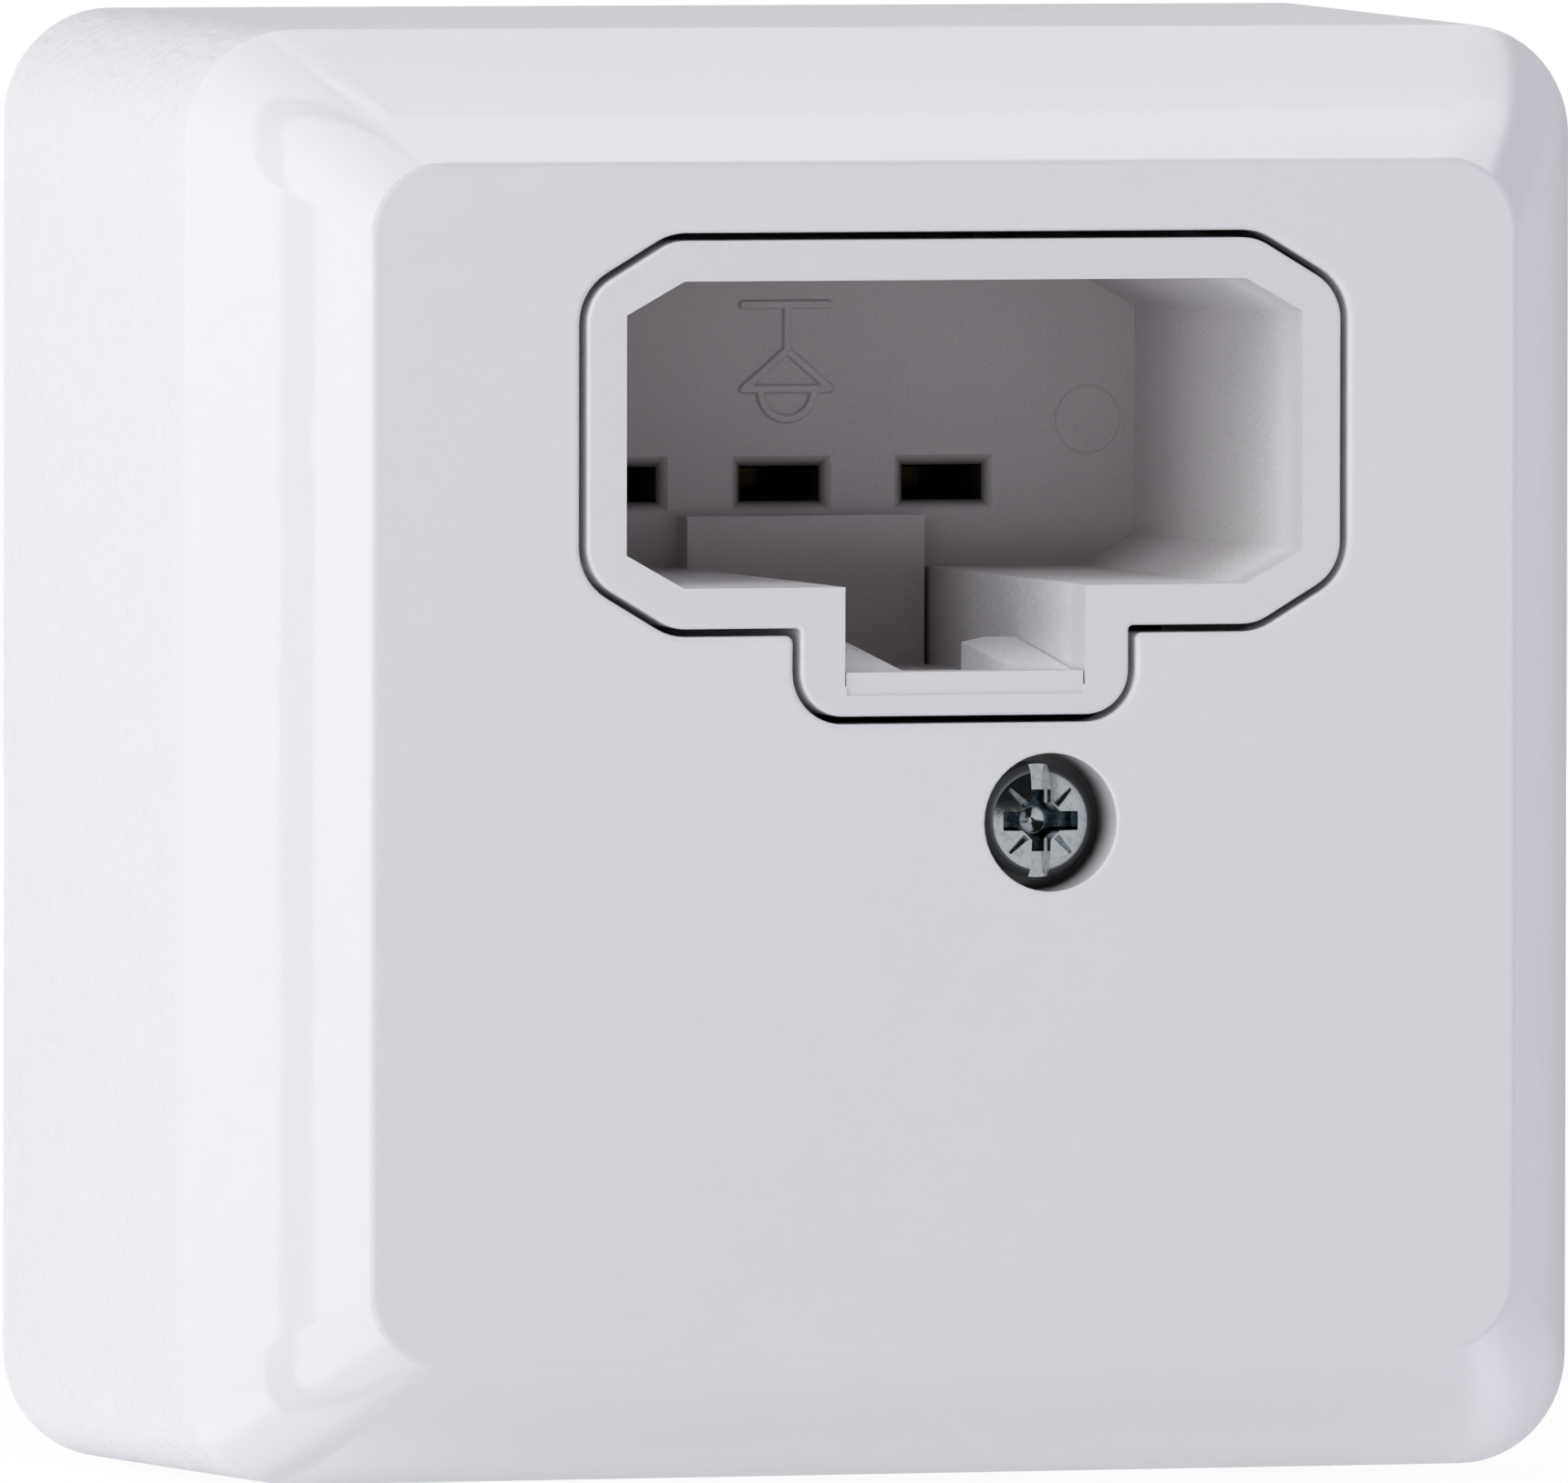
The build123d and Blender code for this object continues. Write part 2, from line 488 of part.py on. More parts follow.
with BuildPart() as terminal_block:
    with BuildSketch(level(insulator_front)):
        with Locations((SOCKET_X, block_middle)):
            RectangleRounded(FRAME_WIDTH, block_top - BLOCK_BOTTOM, BLOCK_CORNER)
    extrude(amount=block_front - insulator_front)
    with BuildSketch(level(block_front)):
        with Locations((SCREW_X, screw_z)):
            Circle(COLUMN_RADIUS)
    extrude(amount=column_top - block_front)
    rib_foot = COLUMN_RADIUS + COLUMN_RIB_REACH
    rib_tip = COLUMN_RADIUS - COLUMN_RIB_OVERLAP
    rib_head = block_front + (column_top - block_front) * COLUMN_RIB_SHARE
    with BuildSketch(side_plane(SCREW_X)):
        with BuildLine():
            Polyline((screw_z, block_front), (screw_z - rib_foot, block_front),
                     (screw_z - rib_tip, rib_head), (screw_z, rib_head), close=True)
        make_face()
    extrude(amount=COLUMN_RIB / 2, both=True)
    with BuildSketch(Plane.XY.offset(screw_z)):
        with BuildLine():
            Polyline((SCREW_X - rib_foot, -block_front), (SCREW_X + rib_foot, -block_front),
                     (SCREW_X + rib_tip, -rib_head),
                     (SCREW_X - rib_tip, -rib_head), close=True)
        make_face()
    extrude(amount=COLUMN_RIB / 2, both=True)
    with BuildSketch(level(column_top)):
        with Locations((SCREW_X, screw_z)):
            Circle(BUSH_RADIUS)
    extrude(amount=-BUSH_LENGTH, mode=Mode.SUBTRACT)
    with BuildSketch(level(screw_tip - SCREW_TIP_GAP)):
        with Locations((SCREW_X, screw_z)):
            Circle(SCREW_RADIUS + SCREW_CLEARANCE)
    extrude(amount=column_top - screw_tip, mode=Mode.SUBTRACT)
    with BuildSketch(level(insulator_front)):
        with Locations(*[(x, (chamber_top + chamber_bottom) / 2) for x in pole_places.values()]):
            Rectangle(CHAMBER_WIDTH, chamber_top - chamber_bottom)
    extrude(amount=chamber_roof - insulator_front, mode=Mode.SUBTRACT)
    with BuildSketch(level(chamber_roof)):
        with Locations(*slot_places):
            Rectangle(SLOT_WIDTH + SLOT_FUNNEL, SLOT_HEIGHT + SLOT_FUNNEL)
        with Locations(*[(x, button_z) for x in pole_places.values()]):
            Rectangle(BUTTON_WIDTH + 2 * BUTTON_GAP, BUTTON_HEIGHT + 2 * BUTTON_GAP)
        for x in pole_places.values():
            with Locations((x - WIRE_PITCH / 2, wire_z), (x + WIRE_PITCH / 2, wire_z)):
                Circle(WIRE_RADIUS)
    extrude(amount=BLOCK_WALL, mode=Mode.SUBTRACT)
    wire_mouths = terminal_block.edges().filter_by(GeomType.CIRCLE).filter_by(
        lambda e: abs(e.radius - WIRE_RADIUS) < 0.01 and abs(e.center().Y + block_front) < 0.01)
    chamfer(wire_mouths, WIRE_FUNNEL)
    with BuildSketch(level(insulator_front)):
        with Locations(*boss_places):
            Circle(BOSS_RADIUS + BOSS_GAP)
    extrude(amount=BASE_THICKNESS + BOSS_HEIGHT + BOSS_GAP - insulator_front, mode=Mode.SUBTRACT)
    with BuildSketch(level(insulator_front)):
        with Locations(*boss_places):
            Circle(BLOCK_SCREW_RADIUS + SCREW_CLEARANCE)
    extrude(amount=block_front - insulator_front, mode=Mode.SUBTRACT)
    with BuildSketch(level(block_front)):
        with Locations(*boss_places):
            Circle(BLOCK_SCREW_HEAD + SCREW_CLEARANCE)
    extrude(amount=-BLOCK_SCREW_SINK, mode=Mode.SUBTRACT)
    for side in (-1, 1):
        edge = SOCKET_X + side * FRAME_WIDTH / 2
        notch = TONGUE_THICKNESS + TONGUE_GAP
        with BuildSketch(level(block_front)):
            with Locations((edge, SOCKET_Z)):
                Rectangle(2 * notch, TONGUE_WIDTH + 2 * TONGUE_GAP)
        extrude(amount=-TONGUE_LENGTH - TONGUE_GAP, mode=Mode.SUBTRACT)
        with BuildSketch(level(block_front - TONGUE_LENGTH - TONGUE_GAP)):
            with Locations((edge, SOCKET_Z)):
                Rectangle(2 * (notch + TONGUE_HOOK), TONGUE_WIDTH + 2 * TONGUE_GAP)
        extrude(amount=TONGUE_THICKNESS + 2 * TONGUE_GAP, mode=Mode.SUBTRACT)
terminal_block.part.label = "terminal_block"
export_step(terminal_block.part, "parts/terminal_block.step")

# The brass bush pressed into the column
with BuildPart() as screw_bush:
    with BuildSketch(level(column_top - BUSH_LENGTH)):
        with Locations((SCREW_X, screw_z)):
            Circle(BUSH_RADIUS)
            Circle(SCREW_RADIUS + THREAD_CLEARANCE, mode=Mode.SUBTRACT)
    extrude(amount=BUSH_LENGTH)
    with BuildSketch(level(column_top - (BUSH_LENGTH + BUSH_GROOVE_WIDTH) / 2)):
        with Locations((SCREW_X, screw_z)):
            Circle(BUSH_RADIUS)
            Circle(BUSH_RADIUS - BUSH_GROOVE_DEPTH, mode=Mode.SUBTRACT)
    extrude(amount=BUSH_GROOVE_WIDTH, mode=Mode.SUBTRACT)
screw_bush.part.label = "screw_bush"
export_step(screw_bush.part, "parts/screw_bush.step")

# The insulator that closes the chambers at the back
with BuildPart() as insulator:
    with BuildSketch(level(BASE_THICKNESS)):
        with Locations((SOCKET_X, block_middle)):
            RectangleRounded(FRAME_WIDTH, block_top - BLOCK_BOTTOM, BLOCK_CORNER)
        with Locations(*boss_places):
            Circle(BOSS_RADIUS + BOSS_GAP, mode=Mode.SUBTRACT)
    extrude(amount=INSULATOR_THICKNESS)
insulator.part.label = "insulator"
export_step(insulator.part, "parts/insulator.step")

# One contact for each pole: a strip with a jaw at the top and a clamping leg at the bottom
strip_level = insulator_front + STRIP_THICKNESS / 2
leg_z = chamber_bottom + STRIP_GAP + STRIP_THICKNESS / 2
jaw_half = (JAW_OPENING + STRIP_THICKNESS) / 2
neck_level = strip_level + JAW_LENGTH - JAW_FLARE
for pole, x in pole_places.items():
    with BuildPart() as contact:
        with BuildSketch(side_plane(x)):
            with BuildLine():
                Polyline((leg_z, chamber_roof - LEG_GAP), (leg_z, strip_level),
                         (slot_z + JAW_FOOT, strip_level), (slot_z + jaw_half, neck_level),
                         (slot_z + jaw_half + JAW_FLARE / 2, neck_level + JAW_FLARE))
            trace(line_width=STRIP_THICKNESS)
            with BuildLine():
                Polyline((slot_z - JAW_FOOT, strip_level), (slot_z - jaw_half, neck_level),
                         (slot_z - jaw_half - JAW_FLARE / 2, neck_level + JAW_FLARE))
            trace(line_width=STRIP_THICKNESS)
        extrude(amount=STRIP_WIDTH / 2, both=True)
    contact.part.label = "contact_" + pole
    export_step(contact.part, "parts/contact_" + pole + ".step")

# The leaf spring that clamps the wires of each pole against the leg of its contact
spring_low = insulator_front + STRIP_THICKNESS + SPRING_THICKNESS / 2
spring_high = spring_low + 2 * SPRING_LOOP_RADIUS
loop_z = button_z + BUTTON_HEIGHT / 2 + SPRING_LOOP_GAP
tongue_end = leg_z + STRIP_THICKNESS / 2 + SPRING_THICKNESS
for pole, x in pole_places.items():
    with BuildPart() as clamp_spring:
        with BuildSketch(side_plane(x)):
            with BuildLine():
                Line((wire_z, spring_low), (loop_z, spring_low))
                ThreePointArc((loop_z, spring_low), (loop_z + SPRING_LOOP_RADIUS,
                              (spring_low + spring_high) / 2), (loop_z, spring_high))
                Line((loop_z, spring_high), (tongue_end, spring_high - SPRING_TONGUE_DROP))
            trace(line_width=SPRING_THICKNESS)
        extrude(amount=SPRING_WIDTH / 2, both=True)
    clamp_spring.part.label = "clamp_spring_" + pole
    export_step(clamp_spring.part, "parts/clamp_spring_" + pole + ".step")

# The release button of each pole, which slides in and bends its spring off the wires
tongue_slope = SPRING_TONGUE_DROP / (loop_z - tongue_end)
tongue_at_button = spring_high - tongue_slope * (loop_z - button_z - BUTTON_HEIGHT / 2)
foot_level = tongue_at_button + SPRING_THICKNESS / 2 + BUTTON_FOOT_GAP
shoulder_level = chamber_roof - BUTTON_STOP_GAP - BUTTON_SHOULDER_THICKNESS
for pole, x in pole_places.items():
    with BuildPart() as button:
        with BuildSketch(level(foot_level)):
            with Locations((x, button_z)):
                Rectangle(BUTTON_WIDTH, BUTTON_HEIGHT)
        extrude(amount=block_front + BUTTON_PROUD - foot_level)
        with BuildSketch(level(shoulder_level)):
            with Locations((x, button_z)):
                Rectangle(BUTTON_WIDTH + 2 * BUTTON_SHOULDER, BUTTON_HEIGHT + 2 * BUTTON_SHOULDER)
        extrude(amount=BUTTON_SHOULDER_THICKNESS)
        fillet(button.faces().sort_by(Axis.Y)[0].edges(), BUTTON_CORNER)
        with BuildSketch(level(block_front + BUTTON_PROUD)):
            with Locations((x, button_z)):
                Rectangle(BUTTON_SLOT_WIDTH, BUTTON_SLOT_HEIGHT)
        extrude(amount=-BUTTON_CORNER, mode=Mode.SUBTRACT)
    button.part.label = "release_button_" + pole
    export_step(button.part, "parts/release_button_" + pole + ".step")

# The wall plate, with its fixing slots, cable entry, rim and two screw bosses
base_half = wall_half - SHELL_WALL - BASE_GAP
base_corner = RIM_CORNER - SHELL_WALL - BASE_GAP
rim_inside = base_half - BASE_RIM_WALL
cable_z = (BLOCK_BOTTOM - rim_inside) / 2
grommet_rim = (rim_inside + BLOCK_BOTTOM) / 2 - CABLE_ROOM_GAP
cable_hole = grommet_rim - GROMMET_FLANGE
cable_place = (0, cable_z)
with BuildPart() as base_plate:
    with BuildSketch(level(0)):
        RectangleRounded(2 * base_half, 2 * base_half, base_corner)
    extrude(amount=BASE_THICKNESS)
    with BuildSketch(level(BASE_THICKNESS)):
        RectangleRounded(2 * base_half, 2 * base_half, base_corner)
        RectangleRounded(2 * rim_inside, 2 * rim_inside, base_corner - BASE_RIM_WALL,
                         mode=Mode.SUBTRACT)
    extrude(amount=BASE_RIM_HEIGHT)
    with BuildSketch(level(BASE_THICKNESS)):
        with Locations(*boss_places):
            Circle(BOSS_RADIUS)
    extrude(amount=BOSS_HEIGHT)
    with BuildSketch(level(BASE_POCKET_DEPTH)):
        with Locations(*boss_places):
            Circle(BLOCK_SCREW_RADIUS + THREAD_CLEARANCE)
    extrude(amount=BASE_THICKNESS + BOSS_HEIGHT, mode=Mode.SUBTRACT)
    with BuildSketch(level(0)):
        with GridLocations(2 * BASE_POCKET_OFFSET, 2 * BASE_POCKET_OFFSET, 2, 2):
            RectangleRounded(BASE_POCKET_SIZE, BASE_POCKET_SIZE, BASE_RIM_WALL)
        with Locations(cable_place):
            Circle(grommet_rim + CABLE_LAND, mode=Mode.SUBTRACT)
        with GridLocations(FIXING_SPACING, 0, 2, 1):
            Circle(FIXING_LENGTH / 2 + CABLE_LAND, mode=Mode.SUBTRACT)
    extrude(amount=BASE_POCKET_DEPTH, mode=Mode.SUBTRACT)
    with BuildSketch(level(0)):
        with GridLocations(FIXING_SPACING, 0, 2, 1):
            SlotOverall(FIXING_LENGTH, FIXING_WIDTH)
        with Locations(cable_place):
            Circle(cable_hole)
    extrude(amount=BASE_THICKNESS, mode=Mode.SUBTRACT)
    with BuildSketch(level(0)):
        with Locations(cable_place):
            Circle(grommet_rim + GROMMET_FIT)
    extrude(amount=GROMMET_LIP, mode=Mode.SUBTRACT)
base_plate.part.label = "base_plate"
export_step(base_plate.part, "parts/base_plate.step")

# The rubber grommet in the cable entry, with a soft cone towards the inside
bore = cable_hole - GROMMET_WALL
grommet_front = BASE_THICKNESS + GROMMET_FLANGE
with BuildPart() as cable_grommet:
    with BuildSketch(Plane(origin=(0, 0, cable_z), x_dir=(0, 0, 1), z_dir=(1, 0, 0))):
        with BuildLine():
            Polyline((bore, GROMMET_FIT), (grommet_rim, GROMMET_FIT), (grommet_rim, GROMMET_LIP),
                     (cable_hole - GROMMET_FIT, GROMMET_LIP),
                     (cable_hole - GROMMET_FIT, BASE_THICKNESS), (grommet_rim, BASE_THICKNESS),
                     (grommet_rim, grommet_front), (bore + 2 * GROMMET_CONE_WALL, grommet_front),
                     (bore + GROMMET_CONE_WALL, grommet_front + GROMMET_CONE_HEIGHT),
                     (bore, grommet_front + GROMMET_CONE_HEIGHT), close=True)
        make_face()
    revolve(axis=Axis((0, 0, cable_z), (0, -1, 0)))
cable_grommet.part.label = "cable_grommet"
export_step(cable_grommet.part, "parts/cable_grommet.step")

# The two screws that hold the terminal block on the wall plate
block_seat = block_front - BLOCK_SCREW_SINK
for side, x in block_screws.items():
    with BuildPart() as block_screw:
        with BuildSketch(level(block_seat - BLOCK_SCREW_LENGTH)):
            with Locations((x, -BLOCK_SCREW_DROP)):
                Circle(BLOCK_SCREW_RADIUS)
        extrude(amount=BLOCK_SCREW_LENGTH)
        with BuildSketch(level(block_seat)):
            with Locations((x, -BLOCK_SCREW_DROP)):
                Circle(BLOCK_SCREW_HEAD)
        extrude(amount=BLOCK_SCREW_HEAD_HEIGHT)
        fillet(block_screw.faces().sort_by(Axis.Y)[0].edges(), BLOCK_SCREW_SLOT / 2)
        with BuildSketch(level(block_seat + BLOCK_SCREW_HEAD_HEIGHT)):
            with Locations((x, -BLOCK_SCREW_DROP)):
                Rectangle(2 * BLOCK_SCREW_HEAD, BLOCK_SCREW_SLOT)
        extrude(amount=-BLOCK_SCREW_SLOT, mode=Mode.SUBTRACT)
    block_screw.part.label = "block_screw_" + side
    export_step(block_screw.part, "parts/block_screw_" + side + ".step")
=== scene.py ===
"""A surface-mounted lamp outlet for a wall, with its plug-in socket and its cover screw.

X is to the right, Z is up and the front looks along -Y. The wall face is the plane y = 0,
and a depth is a distance from the wall towards the front. Sizes are in metres.
"""

from math import cos, radians, sin

import bmesh
import bpy
import numpy as np
from mathutils import Matrix, Vector


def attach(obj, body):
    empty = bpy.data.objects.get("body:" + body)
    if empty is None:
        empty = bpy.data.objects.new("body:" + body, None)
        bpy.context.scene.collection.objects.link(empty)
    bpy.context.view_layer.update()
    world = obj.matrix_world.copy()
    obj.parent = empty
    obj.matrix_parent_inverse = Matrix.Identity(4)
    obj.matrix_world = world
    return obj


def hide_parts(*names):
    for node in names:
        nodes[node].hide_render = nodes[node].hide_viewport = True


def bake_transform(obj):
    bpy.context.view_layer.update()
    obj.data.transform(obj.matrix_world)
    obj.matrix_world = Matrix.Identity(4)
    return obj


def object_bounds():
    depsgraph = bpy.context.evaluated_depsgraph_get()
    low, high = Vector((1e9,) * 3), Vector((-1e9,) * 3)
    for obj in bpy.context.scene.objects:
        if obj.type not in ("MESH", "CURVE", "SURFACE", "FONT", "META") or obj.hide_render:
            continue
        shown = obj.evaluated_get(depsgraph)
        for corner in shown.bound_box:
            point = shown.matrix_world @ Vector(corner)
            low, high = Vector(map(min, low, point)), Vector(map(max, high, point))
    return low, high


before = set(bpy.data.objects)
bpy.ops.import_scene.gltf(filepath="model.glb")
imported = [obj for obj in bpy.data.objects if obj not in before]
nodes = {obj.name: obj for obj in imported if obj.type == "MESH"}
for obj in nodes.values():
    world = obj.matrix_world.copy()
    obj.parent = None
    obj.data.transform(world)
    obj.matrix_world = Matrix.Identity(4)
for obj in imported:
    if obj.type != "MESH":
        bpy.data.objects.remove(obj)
cad_low, cad_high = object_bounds()

# The camera of the photograph: a very long lens a little left of the front and just above
# it, level but for a tenth of a degree. The picture is 1720 pixels wide.
AZIMUTH, ELEVATION, ROLL = radians(-17.275), radians(2.412), radians(0.102)
CAMERA_DISTANCE = 1.8858
CAMERA_AIM = Vector((0.005413, 0.0, -0.000976))
CLIP_NEAR, CLIP_FAR = 0.05, 50.0
PICTURE_WIDTH = 1720
FOCAL_PIXELS = 34571.8
backward = Vector((sin(AZIMUTH) * cos(ELEVATION), -cos(AZIMUTH) * cos(ELEVATION), sin(ELEVATION)))
rightward = Vector((cos(AZIMUTH), sin(AZIMUTH), 0.0))
upward = backward.cross(rightward)
camera = bpy.data.objects.new("camera", bpy.data.cameras.new("camera"))
camera.data.lens = FOCAL_PIXELS / PICTURE_WIDTH * camera.data.sensor_width
camera.data.clip_start, camera.data.clip_end = CLIP_NEAR, CLIP_FAR
camera.matrix_world = Matrix.Translation(CAMERA_AIM + CAMERA_DISTANCE * backward) @ Matrix((
    cos(ROLL) * rightward + sin(ROLL) * upward,
    cos(ROLL) * upward - sin(ROLL) * rightward,
    backward,
)).transposed().to_4x4()
bpy.context.scene.collection.objects.link(camera)
bpy.context.scene.camera = camera
bpy.context.scene.view_settings.view_transform = "Standard"


class Feed:
    """One value on its way into a finish. Arithmetic on feeds adds their Math nodes."""

    def __init__(self, tree, socket):
        self.tree, self.socket = tree, socket

    def node(self, kind, settings, inputs, out=0):
        """A new node with its settings, and the values or feeds of its sockets."""
        made = self.tree.nodes.new(kind)
        for name, value in settings.items():
            setattr(made, name, value)
        for name, value in inputs.items():
            if isinstance(value, Feed):
                self.tree.links.new(value.socket, made.inputs[name])
            else:
                made.inputs[name].default_value = value
        return Feed(self.tree, made.outputs[out])

    def sum(self, operation, first, second):
        """One Math node."""
        return self.node("ShaderNodeMath", {"operation": operation}, {0: first, 1: second})

    def __add__(self, other):
        return self.sum("ADD", self, other)

    def __sub__(self, other):
        return self.sum("SUBTRACT", self, other)

    def __mul__(self, other):
        return self.sum("MULTIPLY", self, other)

    def __truediv__(self, other):
        return self.sum("DIVIDE", self, other)

    def __rsub__(self, other):
        return self.sum("SUBTRACT", other, self)

    def __rtruediv__(self, other):
        return self.sum("DIVIDE", other, self)

    __radd__, __rmul__ = __add__, __mul__

    def step(self, low, high, start=0.0, end=1.0):
        """A soft step from start to end as the value goes from low to high."""
        return self.node("ShaderNodeMapRange", {"interpolation_type": "SMOOTHSTEP"},
                         {0: self, 1: low, 2: high, 3: start, 4: end})


# The studio: a pale floor that fades to white, tall soft lamps on the left, smaller ones above,
# on the right and behind, and a room that is lighter towards its top. The lamps light only what
# is matt. Gloss shows a drawn room: a white backdrop with a dark gap on the left, a bright panel
# overhead, and a darker front.
FLOOR_SIZE, FLOOR_DROP = 6.0, 0.0001
FLOOR_WHITE, FLOOR_ROUGHNESS = (0.86, 0.86, 0.87, 1.0), 0.9
FLOOR_GLOW_SHARE = 0.9
PURE_WHITE = (1.0, 1.0, 1.0, 1.0)
ROOM_TOP_LEVEL = 0.37
ROOM_TABLE_LEVEL = 0.256
ROOM_COLOUR = (0.985, 0.985, 1.0, 1.0)
BACKDROP_LEVEL, BACKDROP_LEFT_EXTRA = 1.0, 0.38
BACKDROP_RIGHT_NEAR, BACKDROP_RIGHT_FAR = 0.72, 0.44
TABLE_FAR_LEVEL, TABLE_NEAR_LEVEL = 1.65, 0.4
OVERHEAD_LEVEL, OVERHEAD_NEAR_EXTRA, OVERHEAD_SLOPE_EXTRA = 0.95, 0.55, 0.5
FRONT_LOW_LEVEL, FRONT_HIGH_LEVEL = 0.6, 0.01
GAP_PLACE, GAP_LEAN = 0.167, 0.08
GAP_INNER_HALF, GAP_OUTER_HALF = 0.0378, 0.0462
# Where the drawn room changes, from one value of a direction's x, y or z to the next.
GAP_X, GAP_LEAN_Z = (0.0, 0.2), (0.05, 0.5)
TABLE_NEAR_Z, TABLE_FAR_Z = (-0.87, -0.7), (-0.7, -0.4)
OVERHEAD_X, OVERHEAD_Z = (-0.05, 0.1), (0.5, 0.65)
OVERHEAD_NEAR_Y, OVERHEAD_SLOPE_Y = (0.36, 0.39), (0.36, 0.6)
RIGHT_X, RIGHT_Y = (0.0, 0.15), (0.6, 0.9)
LEFT_X = (-0.1, 0.05)
FRONT_X, FRONT_Z = (0.35, 0.5), (-0.02, 0.08)
REAR_Y = (-0.35, -0.15)
ROOM_TOP_Z = (0.2, 0.9)
COOL_LIGHT, WHITE_LIGHT = (0.70, 0.74, 1.0), (1.0, 1.0, 1.0)
LAMPS = {
    # name: azimuth from the front and elevation in degrees, distance, width, height, watts, colour
    "lamp_left_side": (-84.0, 4.0, 0.8, 0.36, 1.1, 2.5, WHITE_LIGHT),
    "lamp_left_near": (-53.0, 4.0, 0.8, 0.5, 1.1, 3.98, WHITE_LIGHT),
    "lamp_top": (104.0, 62.0, 0.42, 0.4, 0.3, 0.165, WHITE_LIGHT),
    "lamp_right_front": (62.0, 6.0, 0.34, 0.2, 0.3, 0.2, COOL_LIGHT),
    "lamp_high_front": (-25.0, 58.0, 0.9, 0.5, 0.4, 1.75, WHITE_LIGHT),
    "lamp_right_rear": (142.0, 4.0, 0.8, 0.5, 0.16, 1.9, WHITE_LIGHT),
    "lamp_rear": (180.0, 4.0, 0.9, 0.8, 0.16, 3.2, WHITE_LIGHT),
}

floor = bpy.data.objects.new("floor", bpy.data.meshes.new("floor"))
half, low = FLOOR_SIZE / 2, cad_low.z - FLOOR_DROP
floor.data.from_pydata([(-half, -half, low), (half, -half, low), (half, half, low),
                        (-half, half, low)], [], [(0, 1, 2, 3)])
floor.visible_glossy = False
bpy.context.scene.collection.objects.link(floor)
floor_paint = bpy.data.materials.new("floor_paint")
floor_paint.use_nodes = True
paint = floor_paint.node_tree
shader = paint.nodes["Principled BSDF"]
shader.inputs["Base Color"].default_value = FLOOR_WHITE
shader.inputs["Roughness"].default_value = FLOOR_ROUGHNESS
start = Feed(paint, shader.outputs[0])
ray = paint.nodes.new("ShaderNodeLightPath").outputs
seen = sum(Feed(paint, ray["Is %s Ray" % kind]) for kind in ("Camera", "Glossy", "Transmission"))
glow = start.node("ShaderNodeEmission", {}, {"Color": PURE_WHITE, "Strength": 1.0})
lift = start.node("ShaderNodeEmission", {}, {
    "Color": PURE_WHITE, "Strength": ROOM_TABLE_LEVEL})
lit = start.node("ShaderNodeAddShader", {}, {0: start, 1: lift})
mixed = start.node("ShaderNodeMixShader", {}, {0: seen * FLOOR_GLOW_SHARE, 1: lit, 2: glow})
paint.links.new(mixed.socket, paint.nodes["Material Output"].inputs["Surface"])
floor.data.materials.append(floor_paint)

room = bpy.data.worlds.new("room")
room.use_nodes = True
bpy.context.scene.world = room
sky = room.node_tree
backdrop = sky.nodes["Background"]
start = Feed(sky, sky.nodes.new("ShaderNodeTexCoord").outputs["Generated"])
across, behind, high = (start.node("ShaderNodeSeparateXYZ", {}, {0: start}, i) for i in range(3))
off_gap = (behind + high.sum("ABSOLUTE", high, 0.0).step(*GAP_LEAN_Z) * GAP_LEAN
           - GAP_PLACE)
gap = ((off_gap * off_gap).step(GAP_INNER_HALF ** 2, GAP_OUTER_HALF ** 2, 1.0, 0.0)
       * (across * -1).step(*GAP_X))
table = (high.step(*TABLE_NEAR_Z, TABLE_NEAR_LEVEL, TABLE_FAR_LEVEL)
         - high.step(*TABLE_FAR_Z) * (TABLE_FAR_LEVEL - BACKDROP_LEVEL))
overhead = (high.step(*OVERHEAD_Z) * across.step(*OVERHEAD_X)
            * (behind.step(*OVERHEAD_NEAR_Y, 1.0, 0.0) * OVERHEAD_NEAR_EXTRA
               + behind.step(*OVERHEAD_SLOPE_Y, 1.0, 0.0) * OVERHEAD_SLOPE_EXTRA
               + OVERHEAD_LEVEL))
right_side = 1 - across.step(*RIGHT_X) * (1 - behind.step(
    *RIGHT_Y, BACKDROP_RIGHT_NEAR, BACKDROP_RIGHT_FAR))
left_side = across.step(*LEFT_X, BACKDROP_LEFT_EXTRA, 0.0)
wall = ((table + left_side) * right_side + overhead) * (1 - gap)
low_front = 1 - (1 - high.step(*FRONT_Z, 1.0, 0.0)) * (1 - across.step(*FRONT_X))
front = low_front * (FRONT_LOW_LEVEL - FRONT_HIGH_LEVEL) + FRONT_HIGH_LEVEL
rear = behind.step(*REAR_Y)
gloss = wall * rear + front * (1 - rear)
level = high.step(*ROOM_TOP_Z) * ROOM_TOP_LEVEL
ray = sky.nodes.new("ShaderNodeLightPath").outputs
seen = Feed(sky, ray["Is Camera Ray"]) + Feed(sky, ray["Is Transmission Ray"])
shine = Feed(sky, ray["Is Glossy Ray"])
sky.links.new((seen + (1 - seen) * (gloss * shine + level * (1 - shine))).socket,
              backdrop.inputs["Strength"])
tint = start.node("ShaderNodeMix", {"data_type": "RGBA"},
                  {0: seen, 6: ROOM_COLOUR, 7: PURE_WHITE}, 2)
sky.links.new(tint.socket, backdrop.inputs["Color"])

for name, (azimuth, elevation, distance, width, height, watts, colour) in LAMPS.items():
    light = bpy.data.lights.new(name, "AREA")
    light.shape, light.size, light.size_y = "RECTANGLE", width, height
    light.energy, light.color = watts, colour
    lamp = bpy.data.objects.new(name, light)
    a, e = radians(azimuth), radians(elevation)
    toward = Vector((sin(a) * cos(e), -cos(a) * cos(e), sin(e)))
    lamp.matrix_world = (Matrix.Translation(distance * toward)
                         @ toward.to_track_quat("Z", "Y").to_matrix().to_4x4())
    lamp.visible_camera = lamp.visible_glossy = False
    bpy.context.scene.collection.objects.link(lamp)

